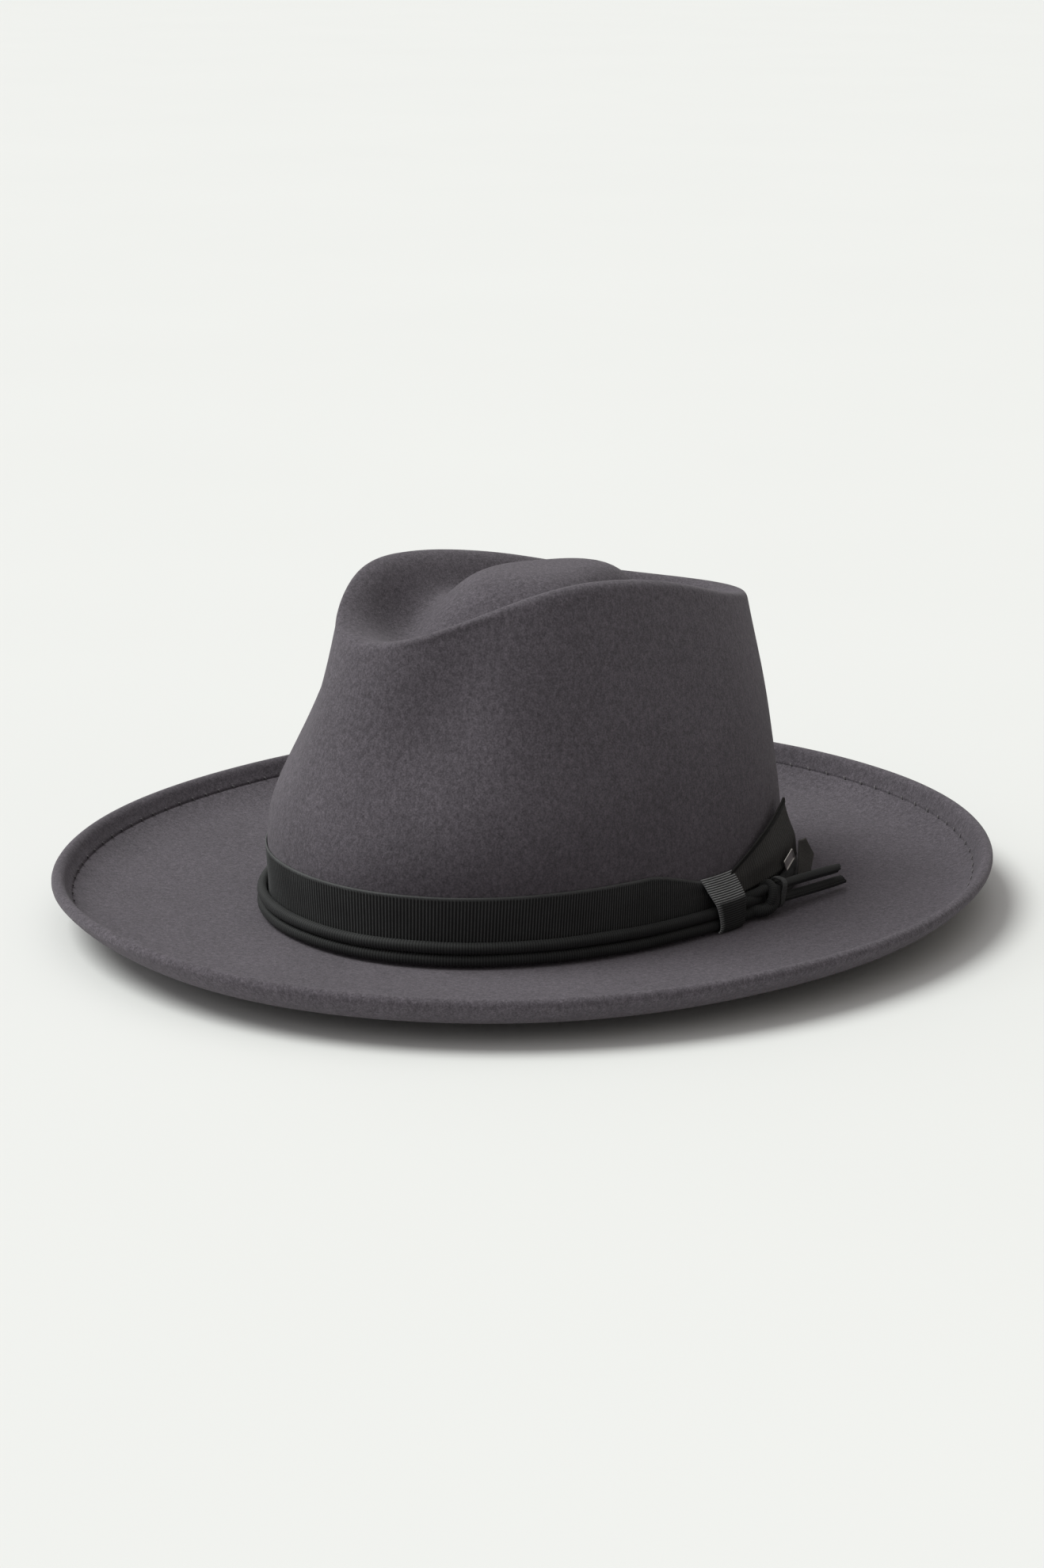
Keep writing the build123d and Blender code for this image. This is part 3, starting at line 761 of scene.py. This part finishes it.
def make_welt_stitches():
    """Small stitches over the fold's edge."""
    turn = 0.0055        # radians that a stitch spans
    thread = 0.00028
    tubes = []
    for i in range(WELT_STITCHES):
        phi = np.array([2 * pi * i / WELT_STITCHES + 0.004 * sin(7.3 * i)])
        bends = []
        for part, along, lift in ((0, -0.3, 0.1), (0.5, 0.15, 0.7), (1, 0.75, 0.9)):
            angle = phi + part * turn
            profile = shaped(angle, stations(brim, [welt_start(angle) + along], angle, FELT + lift))
            bends.append(place(angle, profile)[0, 0])
        tubes.append(tube_between(*bends, thread))
    stitches = many_tubes("welt_stitching", tubes, WELT_THREAD)
    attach(stitches, HAT)
    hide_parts("welt_stitches")


# ---- ribbon band and cords

BAND_OUT = 0.55              # the ribbon's middle surface, outside the felt
CORD_OUT = 3.2
LOWER_CORD_HEIGHT = 5.5
UPPER_CORD_HEIGHT = 9.95
BAND_RIBS = 520


def band_top(phi):
    """The band's top edge, dipping where the bow gathers it."""
    away = signed(phi - radians(WRAP_ANGLE)) * oval_radius(phi)
    return BAND_TOP - GATHER_DEPTH * (1 - smooth(np.abs(away) / GATHER_REACH))


def make_hat_band():
    """Grosgrain ribbon round the crown, with its woven edges and the folds where the bow gathers it."""
    phi = np.linspace(radians(WRAP_ANGLE + 0.6), radians(WRAP_ANGLE + 359.4), BAND_RIBS * 4 + 1)
    heights = np.array([0, 0.05, 0.2, 0.4, 0.6, 0.7, 0.8, 0.88, 0.94, 0.975, 1.0])
    z = BAND_BOTTOM + heights[:, None] * (band_top(phi) - BAND_BOTTOM)[None, :]
    angle = np.broadcast_to(phi, z.shape)
    from_wrap = signed(angle - radians(WRAP_ANGLE))
    slanting = z - 0.12 * np.abs(np.degrees(from_wrap))
    wave = 0.5 + 0.5 * np.sin(2 * pi * slanting / 4.6)
    folds = bell(from_wrap, 0, radians(13)) * smooth((z - 12.5) / 3) * wave
    drift = 0.06 * np.sin(11 * angle) + 0.05 * np.sin(23 * angle + 1)
    middle = wall_points(angle, BAND_OUT + 0.9 * folds + drift * heights[:, None], z)
    pattern = rib_pattern(z.shape, depth=0.0003)
    pattern[0] = pattern[-1] = 0.00001
    pattern[-2] = 0.00003
    # the grooves between the ribs get painted shade
    band = mid_slab("band_ribbon", middle[::-1], 0.0005, RIBBON, pattern[::-1])
    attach(band, HAT)
    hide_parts("hat_band")


def make_wound_cord(name, node, height):
    """A rolled ribbon cord round the foot of the band, from the knot and back to it."""
    turns = np.radians(np.arange(KNOT_ANGLE - 2, KNOT_ANGLE - 353, -0.2))
    lead = smooth((np.degrees(turns) - KNOT_ANGLE + 8) / 6)    # the cord stands off towards the knot
    sway = 0.08 * np.sin(9 * turns + height) + 0.05 * np.sin(17 * turns)
    path = wall_points(turns, CORD_OUT + lead, height + sway)
    cord = ribbed_tube(name, path, CORD_DIAMETER / 2 * 0.9 * MM, CORD_RIBBON, rib=0.00016, squash=1.14)
    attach(cord, HAT)
    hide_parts(node)


# ---- bow

# The wrap's side view over the band and the cords: (distance outside the wall, height).
WRAP_SIDE = ((0.5, 22.5), (1.5, 21.9), (4.0, 18.2), (6.2, 14.6), (6.8, 12.5), (6.6, 8.5), (6.3, 4.0),
             (5.0, 2.9))
WRAP_LEFT = 100.2
WRAP_RIGHT = 112.3
WRAP_FRONT_TOP = 15.2        # below this the wrap's front gets painted shade, nearly as dark as its grooves


def make_bow_wrap():
    """The short ribbed ribbon over the band and the cords, a little narrower at its foot, with painted
    shade on its lower front.
    """
    side = smooth_path([(out, z, 0) for out, z in WRAP_SIDE], 26 * 4 + 1)
    out, z = side[:, 0:1], side[:, 1:2]
    across = np.linspace(-1, 1, 15)[None, :]
    drop = smooth((WRAP_TOP - z) / 19)
    left = WRAP_LEFT + 2.5 * drop
    right = WRAP_RIGHT - 1.3 * drop
    angle = np.radians((left + right) / 2 + across * (right - left) / 2)
    grow = out + 0.3 * (1 - across ** 2)
    middle = wall_points(angle, grow, z + 0 * grow)
    pattern = rib_pattern(grow.T.shape, depth=0.0003).T
    # painted shade over the wrap's lower front
    front = smooth((WRAP_FRONT_TOP - z) / 1.6) * smooth((across + 0.92) / 0.1)
    shade = np.maximum(groove_shade(pattern), 0.93 * front)
    wrap = mid_slab("bow_wrap_ribbon", middle, 0.0007, WRAP_RIBBON_PAINTED_LIGHT, pattern, shade)
    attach(wrap, HAT)
    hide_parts("bow_wrap")


def make_bow_wing():
    """The ribbon's flared end: a folded fan from the wrap up the side of the crown."""
    s = np.linspace(0, 1, 36 * 4 + 1)[None, :]
    u = np.linspace(0, 1, 30)[:, None]
    low = 13.0 + 2.0 * s
    high = 21.4 + 17.9 * s ** 0.95
    z = low + (high - low) * u
    angle = np.radians(110.5 + 31.0 * s - 1.5 * u * s + 2.4 * s * (1 - u) ** 1.2)
    fold = bell(u, 0.52 - 0.16 * s, 0.2)
    grow = 1.3 + 0.8 * s + 3.4 * s ** 2 * (1 - 0.5 * u) + 0.9 * fold * smooth(s * 2)
    grow = grow + 0.4 * smooth((u - 0.85) / 0.15) * s
    middle = wall_points(angle, grow, z)
    pattern = rib_pattern(z.shape, depth=0.0002)
    pattern[-3:] = 0.00035   # the woven edge stands proud of the ribs
    pattern[-4] = 0.0
    pattern[:, -1] = 0.00005
    shade = groove_shade(pattern, 2 * GROOVE)
    # the edge is darkened fully, like the deepest grooves
    shade[-4:] = 1.0
    wing = mid_slab("bow_wing_ribbon", middle[::-1], 0.0006, WING_RIBBON, pattern[::-1], shade[::-1])
    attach(wing, HAT)
    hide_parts("bow_wing")


def make_ribbon_tail():
    """The ribbon's loose end, cut to a point."""
    turn = radians(TAIL_TURN)
    along = np.array([cos(turn), sin(turn), 0])
    outward = np.array([sin(turn), -cos(turn), 0])
    root = np.array(on_wall(TAIL_ANGLE, TAIL_OUT, TAIL_BOTTOM)) / MM
    s = np.linspace(0, 1, 15 * 4 + 1)[None, :]
    v = np.linspace(0, 1, 18)[:, None]
    corner = 0.44            # the edge slants out up to here, and from here back to the point
    reach = np.where(v < corner, 6.8 + 2.0 * v / corner, 8.8 - 6.0 * (v - corner) / (1 - corner))
    x = -1.3 + (reach + 1.3) * s
    bend = 0.4 + 0.5 * np.sin(pi * s * 0.9) * (0.4 + 0.6 * v) - 0.3 * s * v
    middle = (root + x[..., None] * along + (v * TAIL_HEIGHT)[..., None] * np.array([0, 0, 1.0])
              + bend[..., None] * outward) * MM
    pattern = rib_pattern(x.shape, depth=0.00018)
    pattern[0] = pattern[-1] = 0.00004
    tail = mid_slab("ribbon_tail_end", middle[::-1], 0.00055, TAIL_RIBBON, pattern[::-1])
    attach(tail, "ribbon_tail")
    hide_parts("ribbon_tail")


def make_metal_tag():
    """A small blank tag: a raised border round a sunk panel."""
    width, height, thickness = 7.6, 5.3, 0.5
    centre = on_wall(TAG_ANGLE, TAG_OUT, TAG_HEIGHT) / MM
    angle, flare, slope = radians(TAG_ANGLE), radians(TAG_FLARE), radians(TAG_SLOPE)
    away = Vector((sin(angle), -cos(angle), 0))
    round_wall = Vector((cos(angle), sin(angle), 0))
    back = round_wall * cos(flare) + away * sin(flare)
    outward = away * cos(flare) - round_wall * sin(flare)
    side = back * cos(slope) + Vector((0, 0, sin(slope)))
    up = outward.cross(side)
    # each ring: (how far inside the tag's outline, distance out)
    rings = ((0.25, 0.0), (0.0, 0.12), (0.0, thickness - 0.15), (0.15, thickness), (0.5, thickness),
             (0.65, thickness - 0.2), (0.95, thickness - 0.22))
    loops = []
    for inset, out in rings:
        outline = rounded_rectangle(width / 2 - inset, height / 2 - inset, max(0.6 - inset, 0.12), 6)
        loops.append([tuple((centre + side * x + up * y + outward * out) * MM) for x, y in outline])
    tag = grid_object("tag_plate", np.array(loops), METAL, wrap_cols=True, caps=True)
    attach(tag, HAT)
    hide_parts("metal_tag")


TURN = radians(CORD_END_TURN)
KNOT_ALONG = Vector((cos(TURN), sin(TURN), 0))
KNOT_OUTWARD = Vector((sin(TURN), -cos(TURN), 0))
KNOT_CENTRE = on_wall(KNOT_ANGLE, KNOT_OUT, KNOT_HEIGHT)


def at_knot(along, outward, up):
    """A point near the knot: along the cord ends, away from the crown, and up, in millimetres."""
    return KNOT_CENTRE + (KNOT_ALONG * along + KNOT_OUTWARD * outward + Vector((0, 0, up))) * MM


# The rolled cords as they cross in the knot: name, radius, and a route, given as at_knot takes it.
KNOT_RUNS = (
    ("knot_lower_run", 2.7, ((-10.5, -2.8, -4.6), (-7.5, 0.4, -4.7), (-3.0, 3.0, -4.5),
                             (0.6, 2.4, -2.6), (2.6, 0.4, 0.4), (4.6, -0.1, 1.9))),
    ("knot_upper_run", 2.0, ((-10.5, -2.8, 0.2), (-6.5, -0.6, 1.4), (-2.0, 0.4, 3.0),
                             (1.4, -0.6, 1.6), (3.2, 0.2, -1.4), (5.2, 0.1, -2.2))),
    ("knot_crossing", 1.85, ((-3.2, -2.6, -4.3), (-2.6, 2.2, -4.6), (-1.2, 4.0, -0.6),
                             (0.2, 2.6, 3.6), (1.0, -1.6, 4.6), (0.6, -3.4, 1.0))),
)


def make_knot():
    """The three rolled runs of the knot, in place of the CAD node."""
    runs = []
    for name, radius, route in KNOT_RUNS:
        path = smooth_path([at_knot(*p) for p in route], 90)
        runs.append(ribbed_tube(name, path, radius * MM, CORD_RIBBON, rib=0.00012, around=16, squash=0.9))
    for run in runs:
        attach(run, HAT)
    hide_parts("cord_knot")


def make_knot_loop():
    """A flat loop of ribbon round both cord ends where they leave the knot."""
    outline = np.array(rounded_rectangle(3.5, 5.3, 2.4, 12))
    ring = spread_evenly(np.concatenate([outline, outline[:1]]), 28 * 4, closed=True)
    normal = np.roll(ring, -1, 0) - np.roll(ring, 1, 0)
    normal = np.stack([normal[:, 1], -normal[:, 0]], -1)
    normal /= np.linalg.norm(normal, axis=1)[:, None]
    ribs = np.where(np.arange(len(ring)) % 4 < 2, 0.0, -0.12)
    # the ribbon's cross-section: (distance along the cords, distance out)
    section = ((0.0, 0.0), (0.15, 0.32), (0.5, 0.36), (1.1, 0.4), (1.7, 0.36), (2.1, 0.3), (2.3, 0.0),
               (2.1, -0.35), (1.1, -0.4), (0.15, -0.35))
    profile = []
    for along, out in section:
        depth = ribs if 0.3 < along < 1.9 and out > 0 else 0 * ribs
        offset = ring + normal * (out + depth)[:, None]
        lean = 4.0 + along + 0.18 * offset[:, 1]
        profile.append([tuple(at_knot(x, y, z)) for x, (y, z) in zip(lean, offset)])
    loop = grid_object("knot_loop_ribbon", np.array(profile), LOOP_RIBBON, wrap_rows=True, wrap_cols=True)
    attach(loop, HAT)
    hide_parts("knot_loop")


def rolled_section():
    """A ribbon rolled up lengthwise, seen on its end: a closed spiral strip, in millimetres."""
    strip = 0.34             # thickness of the rolled ribbon
    turn = np.linspace(0, 3.3 * pi, 46)
    outer = (2.08 - 0.2565 * turn / pi)[:, None]
    circle = np.stack([np.cos(turn), np.sin(turn)], -1)
    return np.concatenate([outer * circle, ((outer - strip) * circle)[::-1]])


CORD_END_APART = 2.35        # each cord end's middle, above or below the knot's


def make_cord_end(name, node, body, side):
    """A stiff rolled cord end with a slanting, frayed cut. side is 1 for the upper, -1 for the lower."""
    section = rolled_section()
    if side < 0:
        section = (section * np.array([1, -1]))[::-1]
    count = 35 * 3
    length = CORD_END_LENGTHS[side]
    run = np.linspace(0, length, count)
    ribs = np.where(np.arange(count) % 3 == 0, 0.955, 1.0)
    fray = 0.25 * np.sin(np.arange(len(section)) * 2.4)
    slant = smooth((run - length + 6.8) / 6.8)[:, None] * (0.5 * section[:, 1] * side + fray - 1.0)
    size = (ribs * (1 - 0.08 * smooth((run - length + 5) / 5)))[:, None]
    bow = 0.2 * np.sin(run / length * pi) * side
    x = CORD_END_START + run[:, None] + slant
    y = size * section[:, 0]
    z = size * section[:, 1] + (side * CORD_END_APART + bow)[:, None]
    along, outward, up = np.array(KNOT_ALONG), np.array(KNOT_OUTWARD), np.array([0, 0, 1.0])
    offset = x[..., None] * along + y[..., None] * outward + z[..., None] * up
    points = np.array(KNOT_CENTRE) + offset * MM
    rows, cols = points.shape[:2]
    faces = grid_faces(rows, cols, False, True)
    for row, order in ((0, -1), (rows - 1, 1)):
        for c in range(cols // 2 - 1):
            quad = [c, c + 1, cols - 2 - c, cols - 1 - c]
            faces.append([row * cols + q for q in quad][::order])
    end = new_object(name, points.reshape(-1, 3).tolist(), faces, CORD_RIBBON)
    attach(end, body)
    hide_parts(node)


# ---- inside of the crown

LINING_MIDDLE = -3.1         # distances from the outside of the felt
SWEATBAND_MIDDLE = -4.15
SWEATBAND_STITCHES = 90


def make_sweatband():
    """Leather strip inside the crown: a pressed line near each edge and a soft wave along the top."""
    phi = np.linspace(radians(180.3), radians(539.7), 421)
    rows = np.array([0, 0.02, 0.06, 0.1, 0.14, 0.2, 0.4, 0.6, 0.8, 0.88, 0.905, 0.93, 0.97, 1.0])
    z = SWEATBAND_BOTTOM + rows[:, None] * (SWEATBAND_WIDTH + 0.25 * np.sin(5 * phi)[None, :])
    angle = np.broadcast_to(phi, z.shape)
    swell = -0.16 * np.sin(pi * rows)[:, None] - 0.1 * (0.5 + 0.5 * np.sin(9 * angle)) * rows[:, None]
    middle = wall_points(angle, SWEATBAND_MIDDLE + swell, z)
    pressed = np.zeros(z.shape)
    pressed[10] = pressed[3] = -0.00022
    band = mid_slab("sweatband_leather", middle, 0.001, LEATHER, pressed)
    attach(band, HAT)
    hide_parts("sweatband")


def ribbed_ring(phi, grow, height, radius):
    """A closed bead round the crown's mouth with fine turns of thread."""
    angle = np.linspace(0, 2 * pi, 10, endpoint=False)
    twist = 1 - 0.08 * (np.arange(len(phi)) % 4 == 0)
    rows = []
    for a in angle:
        out = grow + 1.3 * radius * cos(a) * twist
        rows.append(wall_points(phi, out, height + radius * sin(a) * twist))
    return np.array(rows).transpose(1, 0, 2)


def make_sweatband_reed():
    """Cord-edged tape that joins the sweatband to the felt."""
    tube = ribbed_ring(np.radians(np.arange(0, 360, 0.25)), grow=-3.6, height=1.6, radius=0.85)
    reed = grid_object("sweatband_reed_tape", tube, DARK_THREAD, wrap_rows=True, wrap_cols=True)
    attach(reed, HAT)
    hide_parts("sweatband_reed")


def make_sweatband_stitches():
    """Short slanting stitches along the foot of the sweatband."""
    thread = 0.00024
    tubes = []
    for i in range(SWEATBAND_STITCHES):
        angle = 360 * i / SWEATBAND_STITCHES
        bends = ((0, -4.75, 4.4), (0.75, -5.25, 4.6), (1.5, -4.75, 4.8))
        start, middle, end = (np.array(on_wall(angle + a, grow, z)) for a, grow, z in bends)
        tubes.append(tube_between(start, middle, end, thread))
    stitches = many_tubes("sweatband_stitching", tubes, DARK_THREAD)
    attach(stitches, HAT)
    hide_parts("sweatband_stitches")


def make_sweatband_bow():
    """Two flat loops and a small knot of narrow ribbon over the sweatband's seam."""
    base = np.array(on_wall(180.0, -5.2, 9.0)) / MM
    t = np.linspace(0, 1, 40)[None, :]
    v = np.linspace(-1, 1, 7)[:, None]
    wide = 1.1 + 0.9 * np.sin(pi * t)
    y = base[1] - 0.5 - 0.35 * np.sin(pi * t) - 0.25 * np.cos(2 * pi * t) + 0 * v
    z = base[2] + 0.3135 * np.sin(2 * pi * t) + v * wide
    pieces = []
    for name, side in (("left", -1), ("right", 1)):
        x = base[0] + side * (0.6 + 7.4 * np.sin(pi * t) ** 0.8) + 0 * v
        middle = np.stack([x, y, z], -1) * MM
        pieces.append(mid_slab(f"rear_bow_loop_{name}", middle, 0.0003, RIBBON))
    route = ((0, -0.2, -2.0), (0, -1.0, -1.2), (0, -1.3, 0.0), (0, -1.0, 1.2), (0, -0.2, 2.0))
    path = smooth_path([(base + np.array(p)) * MM for p in route], 30)
    pieces.append(ribbed_tube("rear_bow_knot", path, 0.0008, RIBBON))
    for piece in pieces:
        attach(piece, HAT)
    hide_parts("sweatband_bow")


def make_size_tab():
    """A blank woven tab standing up behind the seam."""
    half_width, height = 6, 16
    x = np.linspace(-half_width, half_width, 15)[None, :]
    v = np.linspace(0, 1, 24)[:, None]
    base = np.array(on_wall(180.0, -5.4, 26.0)) / MM
    y = base[1] - 0.15 - 0.5 * np.sin(pi * v) * (1 - (x / half_width) ** 2)
    z = base[2] - height / 2 + height * v + 0 * x
    middle = np.stack([base[0] + x + 0 * v, y, z], -1) * MM
    tab = mid_slab("size_tab_blank", middle, 0.00035, SATIN)
    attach(tab, HAT)
    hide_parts("size_tab")


def make_lining_side():
    """The satin wall of the lining, softly puckered towards its sewn edges."""
    phi = np.linspace(radians(180.2), radians(539.8), 601)
    z = np.linspace(LINING_BOTTOM, LINING_TOP, 46)[:, None] + 0 * phi[None, :]
    angle = np.broadcast_to(phi, z.shape)
    ends = smooth((z - 74) / 22) + 0.5 * smooth((30 - z) / 16)
    pucker = -0.3 * ends * (0.5 + 0.5 * np.sin(46 * angle + 0.6 * np.sin(7 * angle)))
    between = (z - LINING_BOTTOM) / (LINING_TOP - LINING_BOTTOM)
    drape = -0.35 * np.sin(pi * between) * (0.5 + 0.5 * np.sin(5 * angle + z / 14))
    middle = wall_points(angle, LINING_MIDDLE + pucker + drape, z)
    lining = mid_slab("lining_wall", middle, 0.0003, SATIN)
    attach(lining, HAT)
    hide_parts("lining_side")


def make_lining_tip():
    """The satin top of the lining, gently sagging."""
    phi = np.linspace(0, 2 * pi, 160, endpoint=False)
    rim, shift = wall_at(phi, LINING_TOP + 0.05 + 0 * phi)
    rows = []
    for part in np.linspace(0.02, 1, 26):
        sag = -2.2 * (1 - part ** 2) - 0.12 * np.sin(24 * phi) * smooth((part - 0.6) / 0.4)
        rows.append(points_at(phi, (rim - 3.2) * part, LINING_TOP + 0.2 + sag, shift))
    middle = np.array(rows)
    both_sides = np.concatenate([middle + np.array([0, 0, 0.00025]), middle[::-1]])
    tip = grid_object("lining_crown_tip", both_sides, SATIN, wrap_cols=True, caps=True)
    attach(tip, HAT)
    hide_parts("lining_tip")


# ---- floor and light


FLOOR_HALF_SIZE = 60.0       # metres, so that no edge of it shows
FLOOR_COLOUR = (0.735, 0.735, 0.728)
DARK_SKY = (0.31, 0.298, 0.28)       # the surround on the shadow side
BRIGHT_SKY = (0.72, 0.715, 0.715)    # and on the lit side
KEY_COLOUR = (0.985, 1.02, 0.985)
KEY_STRENGTH = 2.5
KEY_ANGLE = 35.0


def make_floor_material():
    n = Nodes("floor_paper", Roughness=0.9, Specular_IOR_Level=0.1)
    soft = n.noise(3.0, 2.0)
    n.colour(n.ramp(soft, (0.3, FLOOR_COLOUR), (0.7, tuple(1.01 * c for c in FLOOR_COLOUR))))
    return n.material


def make_stage():
    """A pale seamless floor."""
    size = FLOOR_HALF_SIZE
    corners = [(-size, -size, 0), (size, -size, 0), (size, size, 0), (-size, size, 0)]
    floor = new_object("floor", corners, [(0, 1, 2, 3)], make_floor_material(), False)


def make_light():
    """A surround that is brighter above and to the left, and one broad soft key from the upper left."""
    world = bpy.data.worlds.new("surround")
    world.use_nodes = True
    tree = world.node_tree
    direction = tree.nodes.new("ShaderNodeTexCoord")
    facing = tree.nodes.new("ShaderNodeVectorMath")
    facing.operation = "DOT_PRODUCT"
    fade = tree.nodes.new("ShaderNodeValToRGB")
    set_stops(fade, ((0.0, DARK_SKY), (0.65, BRIGHT_SKY)))
    tree.links.new(direction.outputs["Generated"], facing.inputs[0])
    tree.links.new(facing.outputs["Value"], fade.inputs["Fac"])
    tree.links.new(fade.outputs["Color"], tree.nodes["Background"].inputs["Color"])
    bpy.context.scene.world = world
    a = radians(CAMERA_AZIMUTH)
    left = Vector((-cos(a), -sin(a), 0))
    ahead = Vector((-sin(a), cos(a), 0))
    facing.inputs[1].default_value = (left * 0.75 + ahead * 0.2 + Vector((0, 0, 0.6))).normalized()
    aim = left * 0.8 + ahead * 0.15 + Vector((0, 0, 1.15))
    data = bpy.data.lights.new("key", "SUN")
    data.energy = KEY_STRENGTH
    data.angle = radians(KEY_ANGLE)
    data.color = KEY_COLOUR
    key = bpy.data.objects.new("key", data)
    key.rotation_euler = (-aim).to_track_quat("-Z", "Y").to_euler()
    bpy.context.collection.objects.link(key)


bpy.context.scene.view_settings.view_transform = "Standard"

make_felt_shell()
make_welt_stitches()
make_hat_band()
make_wound_cord("wound_cord_lower", "cord_lower", LOWER_CORD_HEIGHT)
make_wound_cord("wound_cord_upper", "cord_upper", UPPER_CORD_HEIGHT)
make_bow_wrap()
make_bow_wing()
make_ribbon_tail()
make_metal_tag()
make_knot()
make_knot_loop()
make_cord_end("cord_end_upper_roll", "cord_end_upper", "cord_end_upper", 1)
make_cord_end("cord_end_lower_roll", "cord_end_lower", "cord_end_lower", -1)
make_sweatband()
make_sweatband_reed()
make_sweatband_stitches()
make_sweatband_bow()
make_size_tab()
make_lining_side()
make_lining_tip()
make_stage()
make_light()
